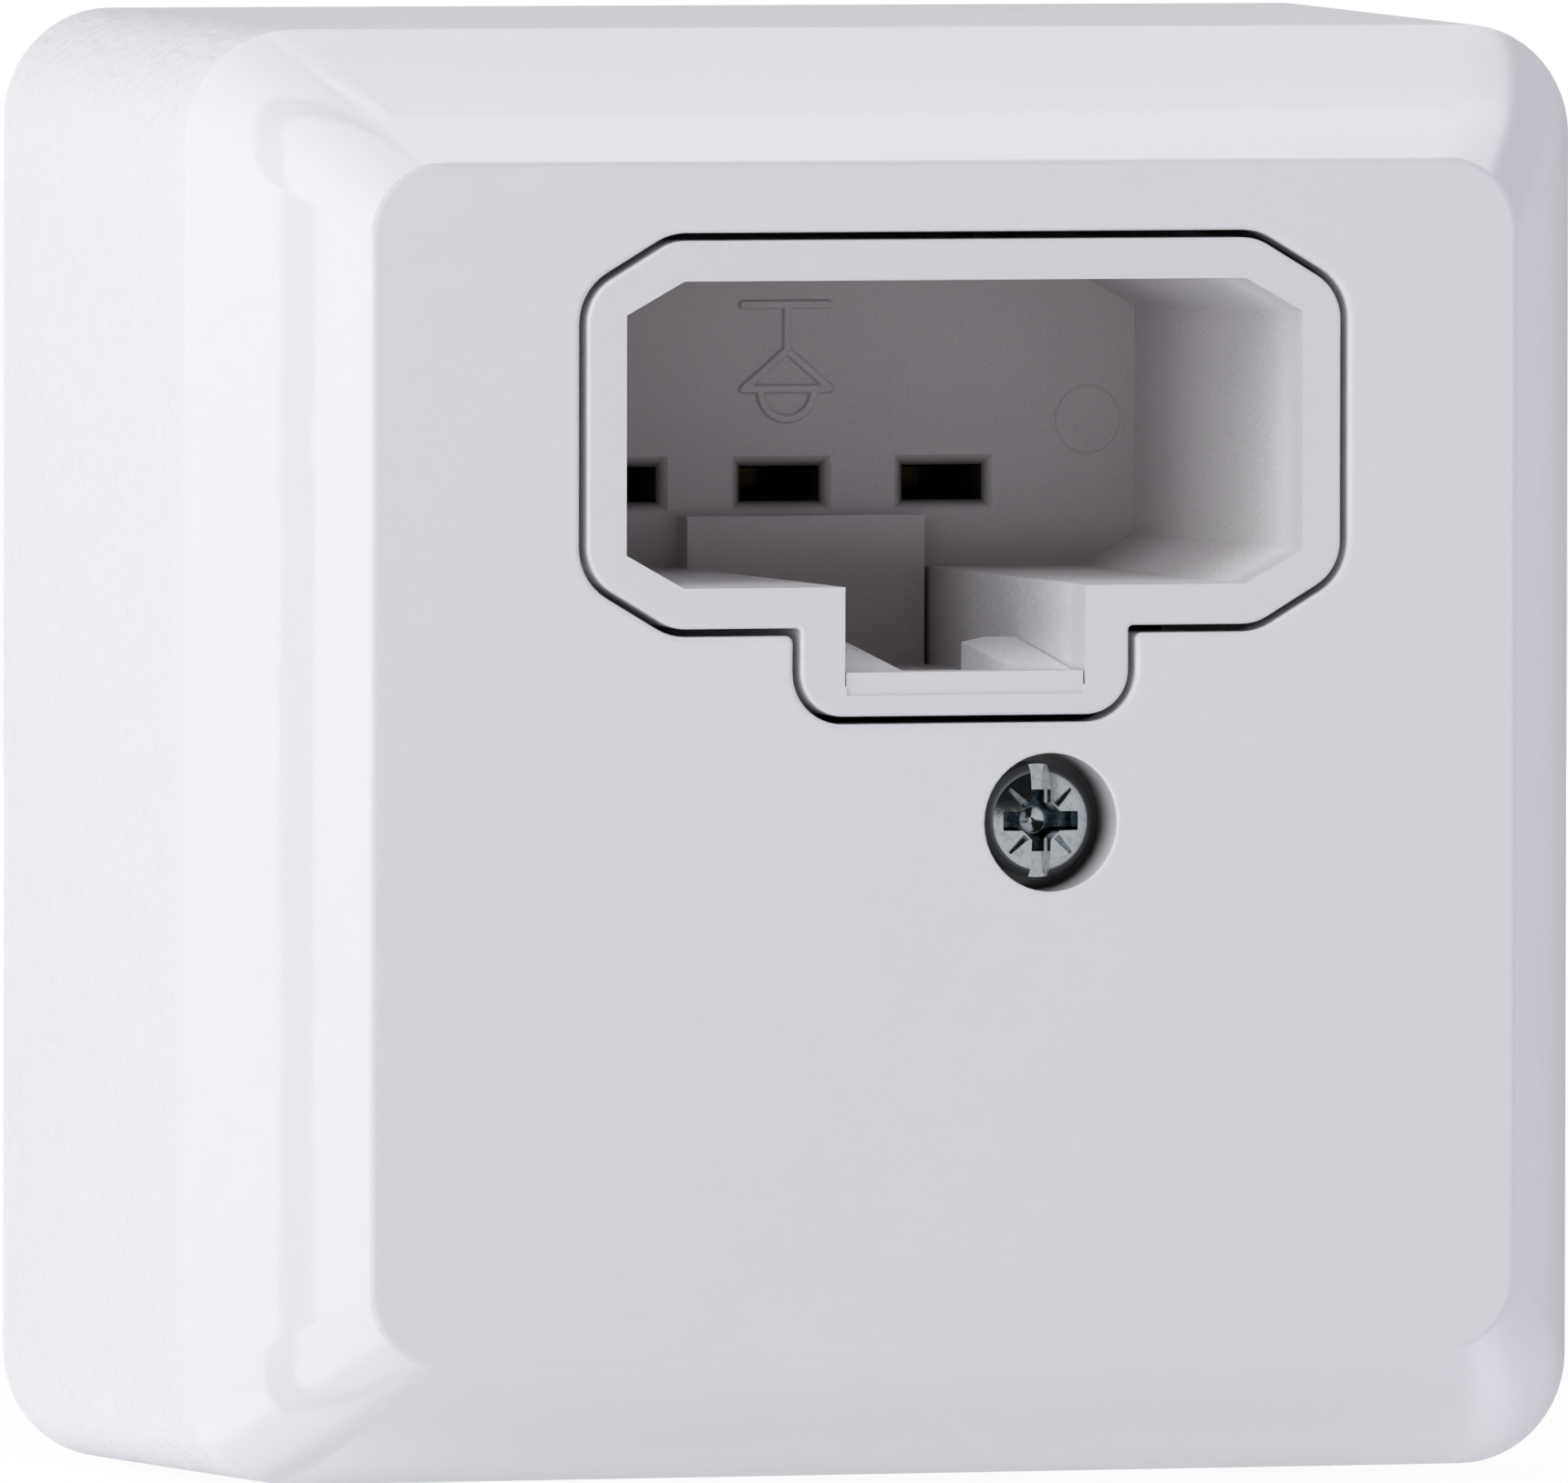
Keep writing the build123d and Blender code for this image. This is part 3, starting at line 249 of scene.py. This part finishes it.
# The cover: one injection-moulded shell of white plastic with a polished front and bevels.
# Its sides have a fine leather grain up to the rim of the bevel, and the screw sits in a
# round recess of its front.
RIM_DEPTH = 0.0364
FRONT_DEPTH = 0.0494
SHELL_WHITE = (0.80, 0.80, 0.832, 1.0)
TONE_SIZE, TONE_SHARE = 0.012, 0.012
GRAIN_SIZE = 0.0010
GRAIN_HEIGHT = 0.00026
GRAIN_FADE = 0.0024
CELL_SHARE, CELL_SOFTNESS = 0.6, 0.7
CREASE_SHARE, CREASE_SIZE = 0.8, 0.0008
GRAIN_MIDDLE = 0.66
RIPPLE_SIZE, RIPPLE_SHARE = 0.005, 0.008
POLISH_ROUGHNESS = 0.045
GRAIN_ROUGHNESS = 0.52
SMEAR_SIZE, SMEAR_ROUGHNESS = 0.003, 0.02
RIM_SOFT = 0.0001
SCREW_PLACE = (0.0064, 0.0, -0.0037)
RECESS_RADIUS = 0.00405
RECESS_DEPTH = 0.00415
RECESS_EDGE = 0.0002
# Painted shade: the share of the cover's colour taken away deep in the screw recess.
RECESS_SHADE_SHARE = 0.87


def dress(node, material):
    """Gives a CAD node its finish."""
    slots = nodes[node].data.materials
    if len(slots) == 0:
        slots.append(material)
    for index in range(len(slots)):
        slots[index] = material


def new_finish(name, colour, roughness, **fixed):
    """A new material, its shader node, and the object coordinates as a feed."""
    material = bpy.data.materials.new(name)
    material.use_nodes = True
    shader = material.node_tree.nodes["Principled BSDF"]
    shader.inputs["Base Color"].default_value = colour
    shader.inputs["Roughness"].default_value = roughness
    for socket, value in fixed.items():
        shader.inputs[socket.replace("_", " ")].default_value = value
    place = material.node_tree.nodes.new("ShaderNodeTexCoord").outputs["Object"]
    return material, shader, Feed(material.node_tree, place)


def feed_in(shader, socket, feed):
    """Links a feed to one of the shader's sockets."""
    feed.tree.links.new(feed.socket, shader.inputs[socket])


def parts_of(place):
    """The x, depth and z of a place as three feeds."""
    x, y, z = (place.node("ShaderNodeSeparateXYZ", {}, {0: place}, i) for i in range(3))
    return x, y * -1, z


def noise(place, size, detail=2.0, roughness=0.5):
    """Noise from 0 to 1 with features of about that size."""
    return place.node("ShaderNodeTexNoise", {}, {"Vector": place, "Scale": 1 / size,
                                                 "Detail": detail, "Roughness": roughness})


def mixed_colour(amount, first, second):
    """The first colour where the amount is 0 and the second where it is 1."""
    return amount.node("ShaderNodeMix", {"data_type": "RGBA"}, {0: amount, 6: first, 7: second}, 2)


def darker(colour, share):
    """The colour less that share of its light."""
    return tuple(c * (1 - share) for c in colour[:3]) + (1.0,)


def bumped(shader, place, height, distance):
    """Feeds a bump of that real height into the shader's normal."""
    feed_in(shader, "Normal", place.node("ShaderNodeBump", {}, {
        "Height": height, "Distance": distance, "Strength": 1.0}))


def from_axis(place, centre):
    """The distance from an axis along Y through the centre."""
    offset = place.node("ShaderNodeVectorMath", {"operation": "SUBTRACT"}, {0: place, 1: centre})
    flat = place.node("ShaderNodeVectorMath", {"operation": "MULTIPLY"}, {0: offset, 1: (1, 0, 1)})
    return place.node("ShaderNodeVectorMath", {"operation": "LENGTH"}, {0: flat}, "Value")


shell_plastic, shader, place = new_finish("shell_plastic", SHELL_WHITE, POLISH_ROUGHNESS)
depth = parts_of(place)[1]
grained = depth.step(RIM_DEPTH - GRAIN_FADE, RIM_DEPTH - RIM_SOFT, 1.0, 0.0)
cells = place.node("ShaderNodeTexVoronoi", {"feature": "SMOOTH_F1"},
                   {"Vector": place, "Scale": 1 / GRAIN_SIZE, "Smoothness": CELL_SOFTNESS})
creases = noise(place, CREASE_SIZE, detail=3.0)
leather = cells * CELL_SHARE + creases * CREASE_SHARE - GRAIN_MIDDLE
ripple = noise(place, RIPPLE_SIZE, detail=1.0) * RIPPLE_SHARE
bumped(shader, place, leather * grained + ripple * (1 - grained), GRAIN_HEIGHT)
matt = depth.step(RIM_DEPTH - RIM_SOFT, RIM_DEPTH + RIM_SOFT, 1.0, 0.0)
feed_in(shader, "Roughness", matt * (GRAIN_ROUGHNESS - POLISH_ROUGHNESS)
        + noise(place, SMEAR_SIZE) * SMEAR_ROUGHNESS + POLISH_ROUGHNESS)
# Painted shade in the screw recess: the cover's colour darkens towards the recess floor.
near_screw = from_axis(place, SCREW_PLACE).step(
    RECESS_RADIUS + 0.5 * RECESS_EDGE, RECESS_RADIUS + 1.5 * RECESS_EDGE, 1.0, 0.0)
recess_shade = near_screw * depth.step(
    FRONT_DEPTH - RECESS_DEPTH, FRONT_DEPTH - RECESS_EDGE, 1.0, 0.0)
soft_tone = mixed_colour(noise(place, TONE_SIZE), SHELL_WHITE, darker(SHELL_WHITE, TONE_SHARE))
feed_in(shader, "Base Color", mixed_colour(
    recess_shade, soft_tone, darker(SHELL_WHITE, RECESS_SHADE_SHARE)))
dress("cover", shell_plastic)

# The socket moulding and its latch bar: a warmer white plastic with the fine matt finish of a
# spark-eroded mould. Snap tongues hold the moulding on the terminal block, and the slots at
# the back of its cavity open into the dark behind it.
SOCKET_WHITE = (0.78, 0.78, 0.805, 1.0)
SOCKET_SPECK = (0.47, 0.44, 0.456, 1.0)
# Painted light and shade in the cavity: lighter side walls, darker and warmer deep walls, darker
# towards the left and towards the bottom.
CAVITY_BACK_SHADE = (0.69, 0.648, 0.67, 1.0)
CAVITY_SIDE_PAINTED_LIGHT = (0.95, 0.935, 0.955, 1.0)
CAVITY_BACK_LEFT_SHADE = (0.505, 0.463, 0.478, 1.0)
CAVITY_BACK_LOW_SHADE = (0.44, 0.405, 0.40, 1.0)
CAVITY_FLOOR = 0.0174
CAVITY_LEFT_X, CAVITY_RIGHT_X = -0.024, 0.012
CAVITY_LOW_Z, CAVITY_HIGH_Z = 0.0095, 0.0135
CAVITY_INNER_DEPTH, CAVITY_OUTER_DEPTH = 0.0185, 0.030
MOUTH_DEPTH, MOUTH_SOFT = 0.004, 0.0008
SPECK_SIZE, SPECK_LOW, SPECK_HIGH = 0.0002, 0.3, 0.7
SPECK_DEPTH, SPECK_SHARE_INSIDE, SPECK_SHARE_OUTSIDE = 0.040, 0.4, 0.05
SLOT_LEVEL = 0.01508
SLOT_HALF_HEIGHT, SLOT_EDGE_SHARE = 0.0018, 0.8
SLOT_SINK = 0.0006
SLOT_SHADE = (0.02, 0.018, 0.018, 1.0)
SOCKET_ROUGHNESS = 0.42
SATIN_SIZE, SATIN_ROUGHNESS = 0.0009, 0.12
SPARK_SIZE, SPARK_HEIGHT = 0.00016, 0.00001

socket_plastic, shader, place = new_finish("socket_plastic", SOCKET_WHITE, SOCKET_ROUGHNESS)
x, depth, z = parts_of(place)
bumped(shader, place, noise(place, SPARK_SIZE, detail=3.0), SPARK_HEIGHT)
# Painted light on the cavity's side walls; painted shade on its deep walls, darker towards the
# left and towards the bottom.
lit_side_walls = mixed_colour(depth.step(FRONT_DEPTH - MOUTH_DEPTH, FRONT_DEPTH - MOUTH_SOFT, 1.0, 0.0),
                    SOCKET_WHITE, CAVITY_SIDE_PAINTED_LIGHT)
back = mixed_colour(x.step(CAVITY_LEFT_X, CAVITY_RIGHT_X), CAVITY_BACK_LEFT_SHADE, CAVITY_BACK_SHADE)
back = mixed_colour(z.step(CAVITY_LOW_Z, CAVITY_HIGH_Z, 1.0, 0.0), back, CAVITY_BACK_LOW_SHADE)
cavity_light_and_shade = mixed_colour(depth.step(CAVITY_INNER_DEPTH, CAVITY_OUTER_DEPTH, 1.0, 0.0), lit_side_walls, back)
specks = (noise(place, SPECK_SIZE, detail=3.0, roughness=0.7).step(SPECK_LOW, SPECK_HIGH)
          * depth.step(SPECK_DEPTH, FRONT_DEPTH, SPECK_SHARE_INSIDE, SPECK_SHARE_OUTSIDE))
specks_and_cavity_shade = mixed_colour(specks, cavity_light_and_shade, SOCKET_SPECK)
# Painted shade: the walls of the slots and their funnels are painted near black.
off_middle = z - SLOT_LEVEL
level_with_slots = (off_middle * off_middle).step(
    (SLOT_HALF_HEIGHT * SLOT_EDGE_SHARE) ** 2, SLOT_HALF_HEIGHT ** 2, 1.0, 0.0)
slot_shade_mask = level_with_slots * depth.step(CAVITY_FLOOR - SLOT_SINK, CAVITY_FLOOR, 1.0, 0.0)
feed_in(shader, "Base Color", mixed_colour(slot_shade_mask, specks_and_cavity_shade, SLOT_SHADE))
feed_in(shader, "Roughness", noise(place, SATIN_SIZE) * SATIN_ROUGHNESS
        + (SOCKET_ROUGHNESS - SATIN_ROUGHNESS / 2))
for node in ("socket_housing", "latch_bar"):
    dress(node, socket_plastic)

# The marks moulded on the wall at the back of the cavity: a raised picture of a hanging lamp,
# and the faint ring that an ejector pin leaves. Each is a sheet of fine cells, raised round its
# lines and closed at the back, and it grows out of the wall.
MARK_SINK, MARK_MERGE = 0.0001, 0.000002
MARK_SOFT = 0.00008
LAMP_LINE, LAMP_HEIGHT, LAMP_CELL, LAMP_MARGIN = 0.00050, 0.00026, 0.00005, 0.0005
RING_LINE, RING_HEIGHT, RING_CELL, RING_MARGIN = 0.00018, 0.00013, 0.00004, 0.0003
BAR_LEFT, BAR_RIGHT, BAR_LEVEL = -0.0026, 0.0027, 0.0257
STEM_X, SHADE_TOP, SHADE_LEVEL, SHADE_HALF = 0.0001, 0.0230, 0.0207, 0.0027
BULB_RADIUS = 0.00165
RING_PLACE, RING_RADIUS = (0.01876, 0.01877), 0.0020


def arc(centre, radius, first, last, count):
    """Points of an arc on the wall, by angles in degrees."""
    angles = [radians(first + (last - first) * i / count) for i in range(count + 1)]
    return [(centre[0] + radius * cos(a), centre[1] + radius * sin(a)) for a in angles]


def moulded_lines():
    """The tree that raises the lines of its mesh out of a thin closed sheet."""
    tree = bpy.data.node_groups.new("moulded_lines", "GeometryNodeTree")
    sockets = {}
    for name, kind in (("Lines", "Geometry"), ("Middle", "Vector"), ("Width", "Float"),
                       ("Height", "Float"), ("Cells Across", "Int"), ("Cells Up", "Int"),
                       ("Line Width", "Float"), ("Line Height", "Float"),
                       ("Finish", "Material")):
        sockets[name] = tree.interface.new_socket(
            name, in_out="INPUT", socket_type="NodeSocket" + kind).identifier
    tree.interface.new_socket("Mesh", in_out="OUTPUT", socket_type="NodeSocketGeometry")
    given = tree.nodes.new("NodeGroupInput")
    inputs = {name: Feed(tree, given.outputs[name]) for name in sockets}
    lines = inputs["Lines"]
    grid = lines.node("GeometryNodeMeshGrid", {}, {
        "Size X": inputs["Width"], "Size Y": inputs["Height"],
        "Vertices X": inputs["Cells Across"], "Vertices Y": inputs["Cells Up"]})
    sheet = lines.node("GeometryNodeTransform", {}, {
        "Geometry": grid, "Translation": inputs["Middle"], "Rotation": (radians(90), 0, 0)})
    lifted = tree.nodes.new("GeometryNodeExtrudeMesh")
    lifted.mode = "FACES"
    tree.links.new(sheet.socket, lifted.inputs["Mesh"])
    lifted.inputs["Offset Scale"].default_value = MARK_SINK / 2
    lifted.inputs["Individual"].default_value = False
    near = lines.node("GeometryNodeProximity", {"target_element": "EDGES"}, {0: lines}, "Distance")
    edge = near - inputs["Line Width"] / 2
    rise = edge.step(-MARK_SOFT, MARK_SOFT, 1.0, 0.0) * (inputs["Line Height"] + MARK_SINK / 2)
    out = lines.node("ShaderNodeCombineXYZ", {}, {1: rise * -1})
    raised = lines.node("GeometryNodeSetPosition", {}, {
        "Geometry": Feed(tree, lifted.outputs["Mesh"]),
        "Selection": Feed(tree, lifted.outputs["Top"]), "Offset": out})
    back = lines.node("GeometryNodeFlipFaces", {}, {"Mesh": sheet})
    joined = tree.nodes.new("GeometryNodeJoinGeometry")
    for feed in (raised, back):
        tree.links.new(feed.socket, joined.inputs[0])
    closed = lines.node("GeometryNodeMergeByDistance", {}, {
        "Geometry": Feed(tree, joined.outputs[0]), "Distance": MARK_MERGE})
    real = lines.node("GeometryNodeRealizeInstances", {}, {"Geometry": closed})
    dressed = lines.node("GeometryNodeSetMaterial", {}, {
        "Geometry": real, "Material": inputs["Finish"]})
    result = tree.nodes.new("NodeGroupOutput")
    tree.links.new(dressed.socket, result.inputs["Mesh"])
    return tree, sockets


line_tree, line_sockets = moulded_lines()


def moulded_mark(name, strokes, line_width, line_height, cell, margin):
    """A mark on the cavity's back wall from its strokes, which are lists of (x, z)."""
    corners, edges = [], []
    for stroke in strokes:
        first = len(corners)
        corners += [(px, -CAVITY_FLOOR, pz) for px, pz in stroke]
        edges += [(first + i, first + i + 1) for i in range(len(stroke) - 1)]
    drawn = bpy.data.meshes.new(name + "_lines")
    drawn.from_pydata(corners, edges, [])
    source = bpy.data.objects.new(name + "_lines", drawn)
    bpy.context.scene.collection.objects.link(source)
    spread = np.array(corners)
    lowest, highest = spread.min(axis=0) - margin, spread.max(axis=0) + margin
    middle, size = (lowest + highest) / 2, highest - lowest
    modifier = source.modifiers.new("lines", "NODES")
    modifier.node_group = line_tree
    for socket, value in (("Middle", (middle[0], -CAVITY_FLOOR + MARK_SINK, middle[2])),
                          ("Width", float(size[0])), ("Height", float(size[2])),
                          ("Cells Across", int(size[0] / cell)),
                          ("Cells Up", int(size[2] / cell)),
                          ("Line Width", line_width), ("Line Height", line_height),
                          ("Finish", socket_plastic)):
        modifier[line_sockets[socket]] = value
    evaluated = source.evaluated_get(bpy.context.evaluated_depsgraph_get())
    mesh = bpy.data.meshes.new_from_object(evaluated)
    bpy.data.objects.remove(source)
    mark = bpy.data.objects.new(name, mesh)
    bpy.context.scene.collection.objects.link(mark)
    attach(mark, "housing")


bulb = arc((STEM_X, SHADE_LEVEL - LAMP_LINE / 4), BULB_RADIUS, first=180, last=360, count=24)
moulded_mark("lamp_mark", [
    [(BAR_LEFT, BAR_LEVEL), (BAR_RIGHT, BAR_LEVEL)],
    [(STEM_X, BAR_LEVEL), (STEM_X, SHADE_TOP)],
    [(STEM_X, SHADE_TOP), (STEM_X - SHADE_HALF, SHADE_LEVEL), (STEM_X + SHADE_HALF, SHADE_LEVEL),
     (STEM_X, SHADE_TOP)],
    bulb], LAMP_LINE, LAMP_HEIGHT, LAMP_CELL, LAMP_MARGIN)
ring = arc(RING_PLACE, RING_RADIUS, first=0, last=360, count=60)
moulded_mark("ejector_mark", [ring], RING_LINE, RING_HEIGHT, RING_CELL, RING_MARGIN)

# The cover screw and the two screws of the terminal block: steel, cold headed, with bright
# zinc plating. The cover screw goes through the cover into the bush of the column, the others
# into bosses of the wall plate. Deep in its drive the colour is painted shade, mottled lighter,
# and the edge round its head is darkened with painted shade.
ZINC = (0.66, 0.70, 0.725, 1.0)
# Painted shade for the drive of the cover screw, dark and mottled lighter.
DRIVE_SHADE_DARK = (0.012, 0.018, 0.024, 1.0)
DRIVE_SHADE_MOTTLE = (0.07, 0.105, 0.125, 1.0)
HEAD_DEPTH = 0.04755
DRIVE_SHADE_DEPTH, EDGE_DEPTH, DEPTH_SOFT = 0.0012, 0.0009, 0.0001
# Radii from the screw's axis, each from the start of a change to its end.
DRIVE_POINT_RADII, DRIVE_END_RADII = (0.0006, 0.00085), (0.0024, 0.0027)
HEAD_EDGE_RADII, HEAD_END_RADII = (0.0028, 0.0031), (0.004, 0.0045)
HEAD_EDGE_SHADE_SHARE = 0.66
STREAK_SIZE, STREAK_SHARE, STREAK_RANGE = 0.0005, 0.25, (0.45, 0.75)
DRIVE_MOTTLE_SIZE, DRIVE_MOTTLE_RANGE = 0.0006, (0.4, 0.7)
PIT_SIZE, PIT_HEIGHT = 0.00022, 0.000004
ZINC_ROUGHNESS, PIT_ROUGHNESS = 0.07, 0.12
zinc_plate, shader, place = new_finish("zinc_plate", ZINC, ZINC_ROUGHNESS, Metallic=1.0)
depth = parts_of(place)[1]
pits = noise(place, PIT_SIZE, detail=3.0, roughness=0.6)
bumped(shader, place, pits, PIT_HEIGHT)
from_centre = from_axis(place, SCREW_PLACE)
drive_shade_start, edge_start = HEAD_DEPTH - DRIVE_SHADE_DEPTH, HEAD_DEPTH - EDGE_DEPTH
# Painted shade deep in the drive of the cover screw, mottled lighter.
in_drive_shade = (depth.step(drive_shade_start - DEPTH_SOFT, drive_shade_start, 1.0, 0.0)
        * from_centre.step(*DRIVE_POINT_RADII) * from_centre.step(*DRIVE_END_RADII, 1.0, 0.0))
streaked = noise(place, STREAK_SIZE, detail=3.0, roughness=0.6).step(*STREAK_RANGE)
streaks = mixed_colour(streaked, ZINC, darker(ZINC, STREAK_SHARE))
# Painted shade on the edge round the head of the cover screw, below its face.
edge = (from_centre.step(*HEAD_EDGE_RADII) * from_centre.step(*HEAD_END_RADII, 1.0, 0.0)
        * depth.step(edge_start - DEPTH_SOFT, edge_start))
streaks_and_edge_shade = mixed_colour(edge, streaks, darker(ZINC, HEAD_EDGE_SHADE_SHARE))
drive_mottle = noise(place, DRIVE_MOTTLE_SIZE, detail=3.0, roughness=0.7).step(*DRIVE_MOTTLE_RANGE)
drive_shade = mixed_colour(drive_mottle, DRIVE_SHADE_DARK, DRIVE_SHADE_MOTTLE)
feed_in(shader, "Base Color", mixed_colour(in_drive_shade, streaks_and_edge_shade, drive_shade))
feed_in(shader, "Roughness", pits * PIT_ROUGHNESS + ZINC_ROUGHNESS)
for node in ("cover_screw", "block_screw_left", "block_screw_right"):
    dress(node, zinc_plate)

# The captive washer behind the cover: clear nylon, stamped from sheet. It grips the screw's
# shank, so the screw stays in the cover when that comes off.
NYLON, NYLON_SHARE, NYLON_TONE_SIZE = (0.78, 0.80, 0.76, 1.0), 0.1, 0.002
NYLON_ROUGHNESS, NYLON_SCUFF, NYLON_SCUFF_SIZE = 0.2, 0.2, 0.0008
NYLON_CLEAR_SHARE, NYLON_IOR = 0.35, 1.53
clear_nylon, shader, place = new_finish("clear_nylon", NYLON, NYLON_ROUGHNESS,
                                        Transmission_Weight=NYLON_CLEAR_SHARE, IOR=NYLON_IOR)
feed_in(shader, "Roughness", noise(place, NYLON_SCUFF_SIZE) * NYLON_SCUFF + NYLON_ROUGHNESS)
feed_in(shader, "Base Color", mixed_colour(noise(place, NYLON_TONE_SIZE), NYLON,
                                           darker(NYLON, NYLON_SHARE)))
dress("screw_retainer", clear_nylon)

# The bush and the three contacts: dull brass. The bush is turned and pressed into its column;
# each contact is stamped and bent from one strip, and is held in a chamber of the block.
BRASS, TARNISH_SHARE = (0.50, 0.36, 0.17, 1.0), 0.6
BRASS_ROUGHNESS, BRASS_SCUFF, BRASS_SCUFF_SIZE = 0.32, 0.2, 0.0006
TARNISH_SIZE, TARNISH_RANGE = 0.003, (0.35, 0.65)
brass, shader, place = new_finish("brass", BRASS, BRASS_ROUGHNESS, Metallic=1.0)
feed_in(shader, "Roughness", noise(place, BRASS_SCUFF_SIZE, detail=3.0) * BRASS_SCUFF
        + BRASS_ROUGHNESS)
tarnish = noise(place, TARNISH_SIZE, detail=3.0).step(*TARNISH_RANGE)
feed_in(shader, "Base Color", mixed_colour(tarnish, BRASS, darker(BRASS, TARNISH_SHARE)))
for node in ("screw_bush", "contact_line", "contact_earth", "contact_neutral"):
    dress(node, brass)

# The clamp springs: bent strips of stainless spring steel, rolled along their length. Pressing
# a button squeezes the loop of its spring between the lower leg, which stays on the contact, and
# the upper one, which goes in with the button. Each solid is hidden and replaced by a
# smooth-shaded copy with its seams merged.
SPRING_STEEL, SPRING_SHARE = (0.56, 0.56, 0.55, 1.0), 0.2
SPRING_ROUGHNESS, ROLLED_ROUGHNESS = 0.18, 0.25
ROLLED_SIZE, ROLLED_HEIGHT, ROLLED_STRETCH = 0.002, 0.000003, (12, 1, 1)
MERGE_DISTANCE = 0.000001
SHARP_ANGLE = radians(30)
spring_steel, shader, place = new_finish("spring_steel", SPRING_STEEL, SPRING_ROUGHNESS,
                                         Metallic=1.0)
rolled = place.node("ShaderNodeVectorMath", {"operation": "MULTIPLY"},
                    {0: place, 1: ROLLED_STRETCH})
grain = noise(rolled, ROLLED_SIZE, detail=3.0)
feed_in(shader, "Roughness", grain * ROLLED_ROUGHNESS + SPRING_ROUGHNESS)
feed_in(shader, "Base Color", mixed_colour(grain, SPRING_STEEL,
                                           darker(SPRING_STEEL, SPRING_SHARE)))
bumped(shader, place, grain, ROLLED_HEIGHT)
for pole in ("line", "earth", "neutral"):
    solid, name = "clamp_spring_" + pole, "sprung_leaf_" + pole
    dress(solid, spring_steel)
    strip = bmesh.new()
    strip.from_mesh(nodes[solid].data)
    bmesh.ops.remove_doubles(strip, verts=strip.verts, dist=MERGE_DISTANCE)
    mesh = bpy.data.meshes.new(name)
    strip.to_mesh(mesh)
    strip.free()
    mesh.shade_smooth()
    mesh.set_sharp_from_angle(angle=SHARP_ANGLE)
    mesh.materials.append(spring_steel)
    leaf = bpy.data.objects.new(name, mesh)
    bpy.context.scene.collection.objects.link(leaf)
    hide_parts(solid)
    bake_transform(leaf)

# The terminal block and the insulator behind it: dark glass-filled nylon, moulded, with the
# dull clouds that the glass leaves. Two screws hold the block on the wall plate, with the
# insulator between them.
BLOCK_DARK, BLOCK_CLOUD = (0.035, 0.035, 0.038, 1.0), (0.052, 0.052, 0.055, 1.0)
BLOCK_SHARE = 0.25
CLOUD_SIZE = 0.0015
BLOCK_ROUGHNESS, CLOUD_ROUGHNESS = 0.42, 0.25
BLOCK_GRAIN_SIZE, BLOCK_GRAIN_HEIGHT = 0.0002, 0.00001
block_nylon, shader, place = new_finish("block_nylon", BLOCK_DARK, BLOCK_ROUGHNESS)
flow = noise(place, CLOUD_SIZE, detail=4.0, roughness=0.6)
feed_in(shader, "Base Color", mixed_colour(flow, darker(BLOCK_DARK, BLOCK_SHARE), BLOCK_CLOUD))
feed_in(shader, "Roughness", flow * CLOUD_ROUGHNESS + BLOCK_ROUGHNESS)
bumped(shader, place, noise(place, BLOCK_GRAIN_SIZE, detail=3.0), BLOCK_GRAIN_HEIGHT)
for node in ("terminal_block", "insulator"):
    dress(node, block_nylon)

# The release buttons of the clamps: light grey nylon, moulded, with a matt face. Each slides
# in a hole of the terminal block and is kept there by its shoulder.
BUTTON_GREY, BUTTON_SHARE = (0.42, 0.43, 0.45, 1.0), 0.1
BUTTON_ROUGHNESS = 0.45
BUTTON_TONE_SIZE = 0.0012
BUTTON_GRAIN_SIZE, BUTTON_GRAIN_HEIGHT = 0.00018, 0.000008
button_nylon, shader, place = new_finish("button_nylon", BUTTON_GREY, BUTTON_ROUGHNESS)
feed_in(shader, "Base Color", mixed_colour(noise(place, BUTTON_TONE_SIZE, detail=3.0),
                                           BUTTON_GREY, darker(BUTTON_GREY, BUTTON_SHARE)))
bumped(shader, place, noise(place, BUTTON_GRAIN_SIZE, detail=3.0), BUTTON_GRAIN_HEIGHT)
for pole in ("line", "earth", "neutral"):
    dress("release_button_" + pole, button_nylon)

# The wall plate: white moulded plastic with a duller face than the cover. Two screws through
# its slots hold it on the wall, and the rim of the cover closes round it.
BASE_WHITE, BASE_SHARE = (0.74, 0.74, 0.75, 1.0), 0.03
BASE_TONE_SIZE = 0.01
BASE_ROUGHNESS, BASE_SCUFF, BASE_SCUFF_SIZE = 0.4, 0.15, 0.002
BASE_GRAIN_SIZE, BASE_GRAIN_HEIGHT = 0.0003, 0.00001
base_plastic, shader, place = new_finish("base_plastic", BASE_WHITE, BASE_ROUGHNESS)
feed_in(shader, "Base Color", mixed_colour(noise(place, BASE_TONE_SIZE, detail=3.0),
                                           BASE_WHITE, darker(BASE_WHITE, BASE_SHARE)))
feed_in(shader, "Roughness", noise(place, BASE_SCUFF_SIZE) * BASE_SCUFF + BASE_ROUGHNESS)
bumped(shader, place, noise(place, BASE_GRAIN_SIZE, detail=3.0), BASE_GRAIN_HEIGHT)
dress("base_plate", base_plastic)

# The grommet of the cable entry: soft dark grey rubber, moulded, with a dusty bloom. Its groove
# snaps into the hole of the wall plate, and its cone closes round the cable.
RUBBER, RUBBER_BLOOM = (0.045, 0.045, 0.048, 1.0), (0.085, 0.085, 0.09, 1.0)
BLOOM_SIZE = 0.002
RUBBER_ROUGHNESS, BLOOM_ROUGHNESS = 0.6, 0.2
RUBBER_GRAIN_SIZE, RUBBER_GRAIN_HEIGHT = 0.0002, 0.000008
grommet_rubber, shader, place = new_finish("grommet_rubber", RUBBER, RUBBER_ROUGHNESS)
bloom = noise(place, BLOOM_SIZE, detail=4.0, roughness=0.6)
feed_in(shader, "Base Color", mixed_colour(bloom, RUBBER, RUBBER_BLOOM))
feed_in(shader, "Roughness", bloom * BLOOM_ROUGHNESS + RUBBER_ROUGHNESS)
bumped(shader, place, noise(place, RUBBER_GRAIN_SIZE), RUBBER_GRAIN_HEIGHT)
dress("cable_grommet", grommet_rubber)
